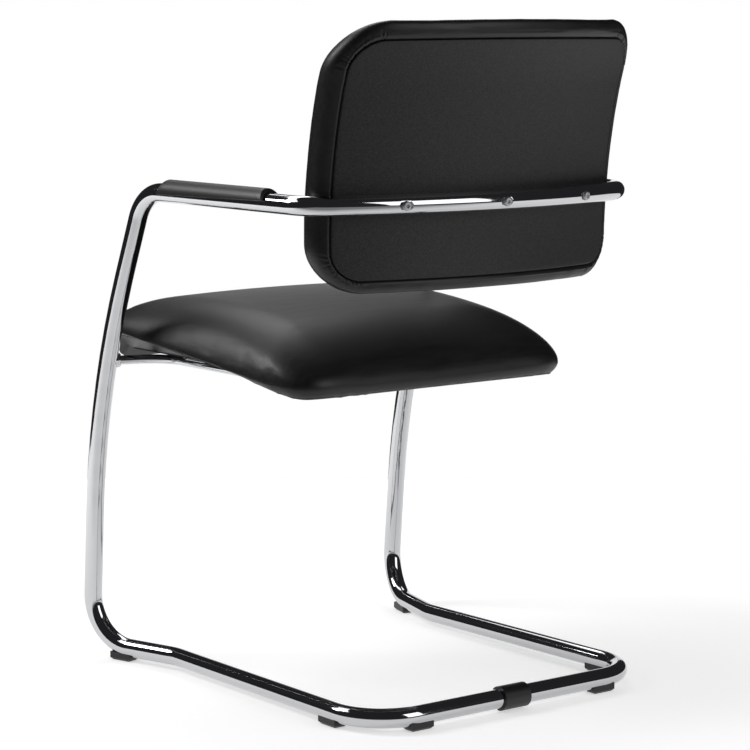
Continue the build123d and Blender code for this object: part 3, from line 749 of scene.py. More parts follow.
@dataclass
class Outline:
    """A rounded rectangle as columns of points, round a core of quads inside its corners' centres."""

    half_width: float
    low: float
    high: float
    across_round: float
    low_round: float
    high_round: float
    low_power: float = 2.0
    high_power: float = 2.0
    corner_steps: int = 60
    across_steps: int = 48
    along_steps: int = 36
    fine_steps: int = 400

    def centres(self) -> list[np.ndarray]:
        """Centres of the four corners, counter-clockwise from the low corner at positive X.

        Returns:
            The centres.
        """
        reach = self.half_width - self.across_round
        low = self.low + self.low_round
        high = self.high - self.high_round
        return [np.array(centre) for centre in ((reach, low), (reach, high), (-reach, high), (-reach, low))]

    def corner(self, number: int) -> tuple[np.ndarray, np.ndarray]:
        """Evenly spaced points along one corner, counter-clockwise, and the outward normals there.

        Args:
            number: Which of the four corners.

        Returns:
            Points and normals, a row for each.
        """
        sign = np.array(((1, -1), (1, 1), (-1, 1), (-1, -1))[number])
        axes = np.array([self.across_round, self.low_round if sign[1] < 0 else self.high_round])
        power = self.low_power if sign[1] < 0 else self.high_power
        turn = np.linspace(0, math.pi / 2, self.fine_steps)
        if number % 2 == 0:
            turn = turn[::-1]
        shape = np.clip(np.column_stack([np.cos(turn), np.sin(turn)]), 0, 1) ** (2 / power)
        curve = self.centres()[number] + sign * axes * shape
        square = sign * shape ** (power - 1) / axes
        run = np.concatenate([[0.0], np.cumsum(np.linalg.norm(np.diff(curve, axis=0), axis=1))])
        even = np.linspace(0, run[-1], self.corner_steps + 1)
        points = np.column_stack([np.interp(even, run, values) for values in curve.T])
        normals = np.column_stack([np.interp(even, run, values) for values in square.T])
        return points, unit_rows(normals)

    def columns(self) -> tuple[np.ndarray, np.ndarray, np.ndarray, np.ndarray]:
        """Points, outward normals, core points and distance run along the outline.

        Returns:
            Four arrays, one row for each column.
        """
        points = []
        normals = []
        core = []
        centres = self.centres()
        corners = [self.corner(number) for number in range(4)]
        for number in range(4):
            first = corners[number - 1][0][-1]
            last = corners[number][0][0]
            steps = self.along_steps if number % 2 else self.across_steps
            for share in np.linspace(0, 1, steps, endpoint=False)[1:]:
                points.append(first + (last - first) * share)
                normals.append(corners[number][1][0])
                core.append(centres[number - 1] + (centres[number] - centres[number - 1]) * share)
            points.extend(corners[number][0])
            normals.extend(corners[number][1])
            core.extend([centres[number]] * (self.corner_steps + 1))
        points = np.array(points)
        steps = np.linalg.norm(np.diff(points, axis=0, append=points[:1]), axis=1)
        return points, np.array(normals), np.array(core), np.concatenate([[0.0], np.cumsum(steps)[:-1]])

    def core_grid(self) -> tuple[np.ndarray, list[tuple[int, ...]]]:
        """Points of the regular grid inside the corners' centres, and its faces.

        Returns:
            The points, row by row, and the faces.
        """
        low_right, high_right, high_left, low_left = self.centres()
        points = []
        for up in np.linspace(0, 1, self.along_steps + 1):
            left = low_left + (high_left - low_left) * up
            right = low_right + (high_right - low_right) * up
            points.extend(left + (right - left) * share for share in np.linspace(0, 1, self.across_steps + 1))
        return np.array(points), grid_faces(self.along_steps + 1, self.across_steps + 1, False, False)


def closed_form(
    rows: list[np.ndarray], cores: list[np.ndarray], core_faces: list[tuple[int, ...]]
) -> tuple[np.ndarray, list[tuple[int, ...]]]:
    """Points and faces of a form made of closed rows, with a core grid inside its first and last row.

    Args:
        rows: Rows of points round the form.
        cores: Points of the two core grids.
        core_faces: Faces of one core grid.

    Returns:
        All points and faces.
    """
    grid = np.array(rows)
    faces = grid_faces(*grid.shape[:2], False, True)
    parts = [grid.reshape(-1, 3)]
    for core in cores:
        base = sum(len(part) for part in parts)
        faces.extend(tuple(base + corner for corner in face) for face in core_faces)
        parts.append(core)
    return np.concatenate(parts), faces


def search_tree(points: np.ndarray) -> KDTree:
    """Search tree of points, for finding the nearest ones.

    Args:
        points: The points.

    Returns:
        The balanced tree.
    """
    tree = KDTree(len(points))
    for number, point in enumerate(points):
        tree.insert(point, number)
    tree.balance()
    return tree


def swell(piece: bpy.types.Object, held: np.ndarray, cap_mm: float, pressure: float) -> None:
    """Let the cover swell over its foam by a short cloth simulation, and keep the result.

    The simulation runs on a coarser copy, and its movement is carried over to the piece.

    Args:
        piece: The cushion, a closed mesh.
        held: Points that staples or seams hold, in millimetres as for mesh_piece.
        cap_mm: How far a point may move.
        pressure: Pressure inside the cover.
    """
    scene = bpy.context.scene
    coarse = bpy.data.objects.new("swelling_cover", piece.data.copy())
    scene.collection.objects.link(coarse)
    remesh = coarse.modifiers.new("remesh", "REMESH")
    remesh.mode = "VOXEL"
    remesh.voxel_size = SIMULATION_CELL_MM * MM
    shaped = coarse.evaluated_get(bpy.context.evaluated_depsgraph_get())
    coarse.data = bpy.data.meshes.new_from_object(shaped)
    coarse.modifiers.clear()
    fine = np.array([vertex.co for vertex in piece.data.vertices])
    before = np.array([vertex.co for vertex in coarse.data.vertices])
    fixed = search_tree((held + REAR_BAR) * MM)
    is_held = np.array([fixed.find(place)[2] < HELD_WITHIN_MM * MM for place in fine])
    near_fine = search_tree(fine)
    fast = [number for number, place in enumerate(before) if is_held[near_fine.find(place)[1]]]
    coarse.vertex_groups.new(name="held").add(fast, 1.0, "REPLACE")
    cloth = coarse.modifiers.new("swell", "CLOTH")
    for name, value in CLOTH_SETTINGS.items():
        setattr(cloth.settings, name, value)
    cloth.settings.uniform_pressure_force = pressure
    cloth.settings.effector_weights.gravity = 0.0
    for number in range(SIMULATION_FRAMES):
        scene.frame_set(number + 1)
    shaped = coarse.evaluated_get(bpy.context.evaluated_depsgraph_get())
    move = np.array([vertex.co for vertex in shaped.data.vertices]) - before
    scene.frame_set(1)
    length = np.maximum(np.linalg.norm(move, axis=1), LEAST_MOVE)
    move *= np.minimum(1.0, cap_mm * MM / length)[:, None]
    near_coarse = search_tree(before)
    for number, place in enumerate(fine):
        found = near_coarse.find_n(place, CARRIED_FROM)
        weights = np.array([1.0 / (distance + MM) for _, _, distance in found])
        shift = sum(weight * move[index] for weight, (_, index, _) in zip(weights, found)) / weights.sum()
        if not is_held[number]:
            piece.data.vertices[number].co += Vector(shift)
    bpy.data.objects.remove(coarse)
    piece.data.update()


@dataclass
class SeatCushion:
    """The upholstered seat: a pillow rolled over at its edges, with the cover stapled under the board."""

    finishes: Finishes
    half_width: float = 228.9
    front: float = -577.0
    rear: float = -137.8
    side_roll: float = 86.7
    front_roll: float = 96.5
    rear_roll: float = 126.1
    front_corner_power: float = 4.45
    rear_corner_power: float = 3.66
    front_top: float = 472.9
    rear_top: float = 445.6
    crown_along: float = 22.0
    crown_across: float = 6.5
    front_wide: float = 446.0
    rear_wide: float = 396.9
    side_wide_front: float = 437.2
    side_wide_rear: float = 394.7
    front_lip: float = 394.0
    rear_lip: float = 384.5
    side_lip: float = 427.5
    side_lip_fall: float = 8.6
    side_lip_droop: float = 37.4
    droop_start: float = 0.43
    droop_power: float = 1.07
    lip_inset: float = 13.8
    lip_turn: float = 75.0
    lip_rows: int = 14
    roll_rows: int = 40
    tuck: float = 24.0
    staple_land: float = 4.0
    underside: float = 412.0
    # Faces of the cover that point down more steeply than this get the black felt, as painted shade.
    painted_shade_below: float = -0.82
    swell_mm: float = 2.5
    slack_mm: float = 1.5
    pressure: float = 4.0
    held_lip_rows: int = 2
    bump_mm: float = 1.3
    bump_widths: tuple[float, float] = (2.0, 6.0)
    bump_heights: tuple[float, float] = (-0.6, 1.0)
    bump_drop: float = 0.5
    bumps: int = 46
    bump_seed: int = 5

    def top_height(self, plan: np.ndarray) -> np.ndarray:
        """Height of the crowned top over each place.

        Args:
            plan: X and Y of the places.

        Returns:
            Their heights.
        """
        share = np.clip((plan[:, 1] - self.front) / (self.rear - self.front), 0, 1)
        slope = self.front_top + (self.rear_top - self.front_top) * share
        crown = 4 * self.crown_along * share * (1 - share)
        slack = self.slack_mm
        return slope + crown - self.crown_across * (plan[:, 0] / self.half_width) ** 2 - slack

    def edge_heights(self, points: np.ndarray, normals: np.ndarray) -> tuple[np.ndarray, np.ndarray]:
        """Heights of the widest line and of the lower lip along the outline.

        Args:
            points: Points of the outline.
            normals: Outward normals there.

        Returns:
            The two heights for each column.
        """
        share = (points[:, 1] - self.front) / (self.rear - self.front)
        side = normals[:, 0] ** 2
        rear = np.where(normals[:, 1] > 0, 1 - side, 0)
        front = 1 - side - rear
        droop = np.clip((share - self.droop_start) / (1 - self.droop_start), 0, None) ** self.droop_power
        side_low = self.side_lip - self.side_lip_fall * share - self.side_lip_droop * droop
        side_wide = self.side_wide_front + (self.side_wide_rear - self.side_wide_front) * share
        low = side * side_low + rear * self.rear_lip + front * self.front_lip
        wide = side * side_wide + rear * self.rear_wide + front * self.front_wide
        return wide, low

    def gather(self, run: np.ndarray) -> np.ndarray:
        """Small uneven bumps along the lip, where the cover is drawn under the board.

        Args:
            run: Distance along the outline.

        Returns:
            The height of the bumps.
        """
        draws = np.random.default_rng(self.bump_seed)
        bumps = np.zeros(len(run))
        for spot in draws.uniform(run.min(), run.max(), self.bumps):
            width = draws.uniform(*self.bump_widths)
            bumps += draws.uniform(*self.bump_heights) * np.exp(-(((run - spot) / width) ** 2))
        return self.bump_mm * bumps

    def build(self) -> list[bpy.types.Object]:
        """Make the cushion in place of the seat's CAD foam and cover.

        Returns:
            The cushion.
        """
        outline = Outline(
            self.half_width,
            self.front,
            self.rear,
            self.side_roll,
            self.front_roll,
            self.rear_roll,
            self.front_corner_power,
            self.rear_corner_power,
        )
        points, normals, core, run = outline.columns()
        wide, low = self.edge_heights(points, normals)
        level = np.full(len(core), self.underside)
        rows = [np.column_stack([core, level])]
        for inset in (self.tuck + self.staple_land, self.tuck):
            rows.append(np.column_stack([points - normals * inset, level]))
        stapled = len(rows)
        steepest = math.radians(self.lip_turn)
        bumps = self.gather(run)
        for turn in np.linspace(-steepest, 0, self.lip_rows, endpoint=False):
            bulge = bumps * (turn / steepest) ** 2
            inset = self.lip_inset * (1 - math.cos(turn)) - bulge
            height = wide + (wide - low) * math.sin(turn) / math.sin(steepest) - self.bump_drop * bulge
            rows.append(np.column_stack([points - normals * inset[:, None], height]))
        for turn in np.linspace(0, math.pi / 2, self.roll_rows):
            plan = core + (points - core) * math.cos(turn)
            rows.append(np.column_stack([plan, wide + (self.top_height(plan) - wide) * math.sin(turn)]))
        plan, core_faces = outline.core_grid()
        cores = [np.column_stack([plan, np.full(len(plan), self.underside)])]
        cores.append(np.column_stack([plan, self.top_height(plan)]))
        seat = mesh_piece("seat_cushion", *closed_form(rows, cores, core_faces), self.finishes.leather)
        held = np.concatenate([*rows[: stapled + self.held_lip_rows], cores[0]])
        swell(seat, held, self.swell_mm, self.pressure)
        # Painted shade: the cover's faces that point steeply down get the black felt instead of the leather,
        # darkening them under the seat where shade falls.
        seat.data.materials.append(self.finishes.felt_and_painted_shade)
        for face in seat.data.polygons:
            face.material_index = int(face.normal.z < self.painted_shade_below)
        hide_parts("seat_cover", "seat_foam")
        return [seat]


@dataclass
class Backrest:
    """The upholstered backrest with its rear panel, curved round the rail and leaning back."""

    finishes: Finishes
    tube: TubeFrame
    half_width: float = 232.5
    bottom: float = 517.0
    top: float = 841.0
    top_bow: float = 2.5
    corner: float = 60.0
    thickness: float = 45.0
    edge_ahead: float = 12.0
    edge_start: float = 0.25
    front_roll: float = 34.0
    front_rows: int = 20
    front_shares: tuple[float, ...] = (0.34, 0.67, 1.0)
    crown: float = 6.0
    lumbar_radius: float = 720.0
    panel_side: float = 16.5
    panel_top: float = 24.0
    panel_bottom: float = 18.0
    panel_corner: float = 36.0
    panel_thickness: float = 3.0
    panel_edge: float = 1.6
    panel_edge_rows: int = 6
    panel_back_inset: float = 0.5
    panel_rows: int = 8
    seam_gap: float = 0.6
    seam_depth: float = 3.2
    seam_land: float = 6.0
    seam_turn: tuple[float, float] = (2.5, 4.2)
    seam_round: float = 0.28
    inside_depth: float = 4.5
    rear_sink: float = 0.3
    rear_rows: int = 22
    flare: float = 6.0
    flare_start: float = 765.0
    flare_power: float = 1.5
    rail_gap: float = 0.2
    swell_mm: float = 2.0
    pressure: float = 3.0
    held_rear_rows: int = 6
    crease_depth: float = 1.3
    crease_width: float = 1.5
    crease_length: float = 20.0
    crease_margin: float = 6.0
    crease_scatter: float = 5.0
    crease_strengths: tuple[float, float] = (0.35, 1.0)
    crease_low_strength: float = 0.8
    crease_lengths: tuple[float, float] = (0.5, 1.1)
    crease_slant: float = 0.35
    crease_ridge: float = 0.45
    crease_ridge_place: float = 1.9
    corner_least: float = 0.02
    creases_per_corner: int = 11
    crease_seed: int = 11

    def rear_radius(self, height: np.ndarray, ahead: np.ndarray) -> np.ndarray:
        """Distance from the rail's axis to a face at each height, some way ahead of the panel.

        Args:
            height: Heights of the places.
            ahead: Distances ahead of the panel's rear face.

        Returns:
            Distances from the rail's axis.
        """
        lean = math.radians(self.tube.backrest_lean)
        touch = self.tube.rail_radius - (self.tube.radius + self.rail_gap) / math.cos(lean)
        centre = touch + self.lumbar_radius * math.cos(lean)
        level = self.tube.arm_height - self.lumbar_radius * math.sin(lean)
        radius = self.lumbar_radius + ahead
        return centre - np.sqrt(radius * radius - (height - level) ** 2)

    def placed(self, face: np.ndarray, ahead: np.ndarray | float) -> np.ndarray:
        """Points of the backrest from places on its face.

        Args:
            face: X and height of the places.
            ahead: Distances ahead of the panel's rear face.

        Returns:
            The points.
        """
        share = (face[:, 1] - self.bottom) / (self.top - self.bottom)
        bow = self.top_bow * (1 - (face[:, 0] / self.half_width) ** 2) * np.clip(share, 0, 1) ** 2
        height = face[:, 1] + bow
        flare = np.clip((height - self.flare_start) / (self.top - self.flare_start), 0, None)
        radius = self.rear_radius(height, ahead) + self.flare * flare**self.flare_power
        depth = self.tube.rail_axis()[1] + np.sqrt(radius * radius - face[:, 0] ** 2)
        return np.column_stack([face[:, 0], depth, height])

    def front_ahead(self, face: np.ndarray) -> np.ndarray:
        """Distance of the crowned front from the panel's rear face.

        Args:
            face: X and height of the places.

        Returns:
            The distances.
        """
        across = face[:, 0] / self.half_width
        up = (2 * face[:, 1] - self.top - self.bottom) / (self.top - self.bottom)
        return self.thickness + self.crown * (1 - across**2) * (1 - up**2)

    def creases(self, run: np.ndarray, normals: np.ndarray, past_seam: np.ndarray) -> np.ndarray:
        """Depth of the creases that the cover forms where it is drawn round the corners.

        Args:
            run: Distance along the outline.
            normals: Outward normals of the outline.
            past_seam: Distance of each column's point from the seam.

        Returns:
            A depth for each column.
        """
        draws = np.random.default_rng(self.crease_seed)
        depth = np.zeros(len(run))
        number = self.creases_per_corner
        for across, up in product(Side, (1, -1)):
            diagonal = (normals[:, 0] * across.value > 0) & (normals[:, 1] * up > 0)
            places = run[diagonal & (np.abs(normals[:, 0] * normals[:, 1]) > self.corner_least)]
            spots = np.linspace(places.min() - self.crease_margin, places.max() + self.crease_margin, number)
            for spot in spots + draws.uniform(-self.crease_scatter, self.crease_scatter, number):
                strength = draws.uniform(*self.crease_strengths)
                strength *= 1.0 if up > 0 else self.crease_low_strength
                length = self.crease_length * draws.uniform(*self.crease_lengths)
                slant = draws.uniform(-self.crease_slant, self.crease_slant)
                aside = (run - spot - slant * past_seam) / self.crease_width
                ridge = self.crease_ridge * np.exp(-((np.abs(aside) - self.crease_ridge_place) ** 2))
                depth += strength * np.clip(1 - past_seam / length, 0, 1) * (np.exp(-(aside**2)) - ridge)
        return self.crease_depth * depth

    def panel_outline(self, grow: float) -> Outline:
        """Outline of the rear panel, grown by a margin.

        Args:
            grow: The margin.

        Returns:
            The outline.
        """
        return Outline(
            self.half_width - self.panel_side + grow,
            self.bottom + self.panel_bottom - grow,
            self.top - self.panel_top + grow,
            *[self.panel_corner + grow] * 3,
        )

    def cushion(self) -> bpy.types.Object:
        """Make the cushion, from the seam at the panel round the edge to the front.

        Returns:
            The cushion.
        """
        outline = Outline(self.half_width, self.bottom, self.top, self.corner, self.corner, self.corner)
        points, normals, core, run = outline.columns()
        inside = self.panel_outline(self.seam_gap)
        seam, seam_normals, seam_core, _ = inside.columns()
        breadth = np.linalg.norm(points - seam, axis=1)
        rows = [self.placed(seam_core, self.inside_depth)]
        for inset, ahead in ((self.seam_land, self.inside_depth), self.seam_turn, (0.0, self.seam_depth)):
            rows.append(self.placed(seam - seam_normals * inset, ahead))
        sewn = len(rows)
        for share in np.linspace(0, 1, self.rear_rows)[1:]:
            lift = math.sqrt(1 - (1 - min(share / self.seam_round, 1)) ** 2)
            past = max(share - self.edge_start, 0) / (1 - self.edge_start)
            fall = self.edge_ahead * (1 - math.sqrt(max(0.0, 1 - past**2)))
            ahead = self.seam_depth * (1 - lift) + self.rear_sink * lift + fall
            ahead = ahead + self.creases(run, normals, breadth * share)
            rows.append(self.placed(seam + (points - seam) * share, ahead))
        for turn in np.linspace(0, math.pi / 2, self.front_rows)[1:]:
            face = points - normals * self.front_roll * (1 - math.cos(turn))
            rise = (self.front_ahead(face) - self.edge_ahead) * math.sin(turn)
            rows.append(self.placed(face, self.edge_ahead + rise))
        inner = points - normals * self.front_roll
        for share in self.front_shares:
            face = inner + (core - inner) * share
            rows.append(self.placed(face, self.front_ahead(face)))
        face, core_faces = outline.core_grid()
        hidden, _ = inside.core_grid()
        cores = [self.placed(hidden, self.inside_depth), self.placed(face, self.front_ahead(face))]
        form = closed_form(rows, cores, core_faces)
        cushion = mesh_piece("backrest_cushion", *form, self.finishes.leather)
        held = np.concatenate([*rows[: sewn + self.held_rear_rows], cores[0]])
        swell(cushion, held, self.swell_mm, self.pressure)
        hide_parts("backrest_cover", "backrest_foam")
        return cushion

    def panel(self) -> bpy.types.Object:
        """Make the rear panel with its rounded edge.

        Returns:
            The panel.
        """
        outline = self.panel_outline(0.0)
        points, normals, core, _ = outline.columns()
        rows = [self.placed(core, self.panel_thickness)]
        rows.append(self.placed(points - normals * self.panel_back_inset, self.panel_thickness))
        for turn in np.linspace(0, math.pi / 2, self.panel_edge_rows):
            face = points - normals * self.panel_edge * (1 - math.cos(turn))
            rows.append(self.placed(face, self.panel_edge * (1 - math.sin(turn))))
        inner = points - normals * self.panel_edge
        for share in np.linspace(0, 1, self.panel_rows)[1:]:
            rows.append(self.placed(inner + (core - inner) * share, 0.0))
        face, core_faces = outline.core_grid()
        cores = [self.placed(face, ahead) for ahead in (self.panel_thickness, 0.0)]
        panel = mesh_piece("rear_panel", *closed_form(rows, cores, core_faces), self.finishes.panel)
        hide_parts("backrest_rear_panel")
        return panel

    def build(self) -> list[bpy.types.Object]:
        """Make the cushion and the panel."""
        return [self.cushion(), self.panel()]


@dataclass
class ArmPads:
    """The two arm pads: moulded saddles on the top half of the arm tubes."""

    finishes: Finishes
    tube: TubeFrame
    length: float = 220.0
    start: float = 46.0
    crown: float = 5.5
    crown_power: float = 0.9
    side: float = 3.6
    front_drop: float = 1.5
    rear_drop: float = -3.5
    lip: float = 0.6
    slant: float = 10.0
    gap: float = 0.2
    edge: float = 1.2
    rows: int = 23
    outer_steps: int = 37
    inner_steps: int = 25

    def section(self, drop: float) -> np.ndarray:
        """Closed section of the pad, across and up from the tube's centre line.

        Args:
            drop: How far the lower edge lies under the centre line.

        Returns:
            The section's points.
        """
        half = self.tube.radius + self.side
        top = self.tube.radius + self.crown
        inner = self.tube.radius + self.gap
        foot = max(0.0, self.lip - drop)
        outer_foot = math.asin((foot / top) ** (1 / self.crown_power))
        inner_foot = math.asin(foot / inner)
        outer_turns = np.linspace(outer_foot, math.pi - outer_foot, self.outer_steps)
        outer = [(half * math.cos(t), top * math.sin(t) ** self.crown_power) for t in outer_turns]
        inner_turns = np.linspace(math.pi - inner_foot, inner_foot, self.inner_steps)
        inside = [(inner * math.cos(t), inner * math.sin(t)) for t in inner_turns]
        wide = half * math.cos(outer_foot)
        narrow = inner * math.cos(inner_foot)
        lip = [(-wide, -drop), (-narrow, -drop)]
        end = [(narrow, -drop), (wide, -drop)]
        return np.array(outer + lip + inside + end)

    def pad(self, side: Side) -> bpy.types.Object:
        """Make one pad.

        Args:
            side: Which arm.

        Returns:
            The pad.
        """
        origin = self.tube.corners()[-1]
        along = self.tube.arm_direction()
        across = np.array([along[1], -along[0], 0.0])
        top = self.tube.radius + self.crown
        rows = []
        for share in np.linspace(0, 1, self.rows):
            section = self.section(self.front_drop + (self.rear_drop - self.front_drop) * share)
            rise = (section[:, 1] + self.front_drop) / (top + self.front_drop)
            first = self.start + self.slant * rise
            last = self.start + self.length - self.slant * rise
            place = np.outer(first + (last - first) * share, along)
            rows.append(origin + place + np.outer(section[:, 0], across) + np.outer(section[:, 1], UP))
        grid = np.array(rows) * np.array([side.value, 1.0, 1.0])
        name = f"arm_pad_{side.name.lower()}"
        pad = mesh_piece(f"{name}_soft", grid.reshape(-1, 3), capped_faces(grid), self.finishes.pad)
        round_edges(pad, self.edge)
        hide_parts(name)
        return pad

    def build(self) -> list[bpy.types.Object]:
        """Make both pads."""
        return [self.pad(side) for side in Side]


@dataclass
class RailScrews:
    """The three button-head screws on the back rail, with hexagon sockets."""

    finishes: Finishes
    tube: TubeFrame
    head_radius: float = 5.8
    head_height: float = 3.6
    rim_share: float = 0.2
    dome_radius_share: float = 0.42
    dome_turns: tuple[float, float, int] = (15.0, 75.0, 6)
    proud: float = 0.9
    sunk: float = 1.5
    socket_across: float = 4.0
    socket_depth: float = 2.0
    socket_flare: float = 1.08
    socket_edge: float = 0.2
    around: int = 48

    def rings(self, angles: np.ndarray) -> list[tuple[np.ndarray, float]]:
        """Radius at each angle and height of the rings, from the head's foot to the socket's floor.

        Args:
            angles: The angles round the screw.

        Returns:
            Radii and height of each ring.
        """
        head = np.full(len(angles), self.head_radius)
        sector = math.pi / 3
        hexagon = (self.socket_across / 2) / np.cos((angles + sector / 2) % sector - sector / 2)
        rings = [(head, -self.sunk), (head, self.head_height * self.rim_share)]
        for turn in np.radians(np.linspace(*self.dome_turns)):
            radius = 1 - self.dome_radius_share * (1 - math.cos(turn))
            rise = self.rim_share + (1 - self.rim_share) * math.sin(turn)
            rings.append((head * radius, self.head_height * rise))
        rings.append((hexagon * self.socket_flare, self.head_height))
        rings.append((hexagon, self.head_height - self.socket_edge))
        rings.append((hexagon, self.head_height - self.socket_depth))
        return rings

    def build(self) -> list[bpy.types.Object]:
        """Make the screws in place of the CAD ones.

        Returns:
            The screws.
        """
        screws = []
        angles = np.linspace(0, 2 * math.pi, self.around, endpoint=False)
        for number, (centre, square) in enumerate(self.tube.screw_frames(), 1):
            across = unit(np.cross(square, UP))
            up = np.cross(across, square)
            seat = centre + square * (self.tube.radius - self.tube.flat_depth + self.proud)
            rows = []
            for radius, height in self.rings(angles):
                flat = np.outer(radius * np.cos(angles), across) + np.outer(radius * np.sin(angles), up)
                rows.append(seat + square * height + flat)
            grid = np.array(rows)
            name = f"rail_screw_{number}"
            screw = mesh_piece(name, grid.reshape(-1, 3), capped_faces(grid), self.finishes.zinc)
            screws.append(screw)
        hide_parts("backrest_screws")
        return screws


@dataclass
class CarriedParts:
    """CAD pieces that stay as they are and get a finish."""

    finishes: Finishes

    def build(self) -> list[bpy.types.Object]:
        """Dress the pieces.

        Returns:
            The dressed pieces.
        """
        dress = {
            "floor_bar_clip": self.finishes.plastic,
            "backrest_panel_clips": self.finishes.plastic,
            "seat_dust_cover": self.finishes.felt_and_painted_shade,
            "seat_board": self.finishes.plywood,
            "backrest_board": self.finishes.plywood,
            "seat_mount_tabs": self.finishes.chrome,
            "joint_spigot": self.finishes.zinc,
            "seat_screws": self.finishes.zinc,
            "seat_tee_nuts": self.finishes.zinc,
            "backrest_tee_nuts": self.finishes.zinc,
        }
        for place in ("rear", "rail", "front"):
            for side in Side:
                dress[f"glide_{place}_{side.name.lower()}"] = self.finishes.plastic
        for node, material in dress.items():
            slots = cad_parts[node].data.materials
            slots.clear()
            slots.append(material)
        return [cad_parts[node] for node in dress]


@dataclass(frozen=True)
class SoftBox:
    """A rectangular lamp that faces the chair: place and size in metres, power in watts."""

    name: str
    place: tuple[float, float, float]
    size: tuple[float, float]
    power: float
    aim: tuple[float, float, float] = (0.0, 0.0, 0.45)

    def build(self) -> None:
        """Hang the lamp."""
        data = bpy.data.lights.new(self.name, "AREA")
        data.shape = "RECTANGLE"
        data.size, data.size_y = self.size
        data.energy = self.power
        lamp = bpy.data.objects.new(self.name, data)
        lamp.location = self.place
        lamp.rotation_euler = (Vector(self.aim) - Vector(self.place)).to_track_quat("-Z", "Y").to_euler()
        bpy.context.scene.collection.objects.link(lamp)


SOFT_BOXES = (
    SoftBox("overhead_soft_box", (0.44, -1.75, 2.65), (4.6, 0.7), 19.0),
    SoftBox("far_soft_box", (-1.15, -2.0, 2.6), (1.4, 1.2), 9.0),
    SoftBox("left_soft_box", (1.58, -1.61, 1.99), (0.9, 0.9), 25.0),
    SoftBox("right_soft_box", (-0.95, 2.8, 1.5), (1.6, 2.0), 21.0),
)


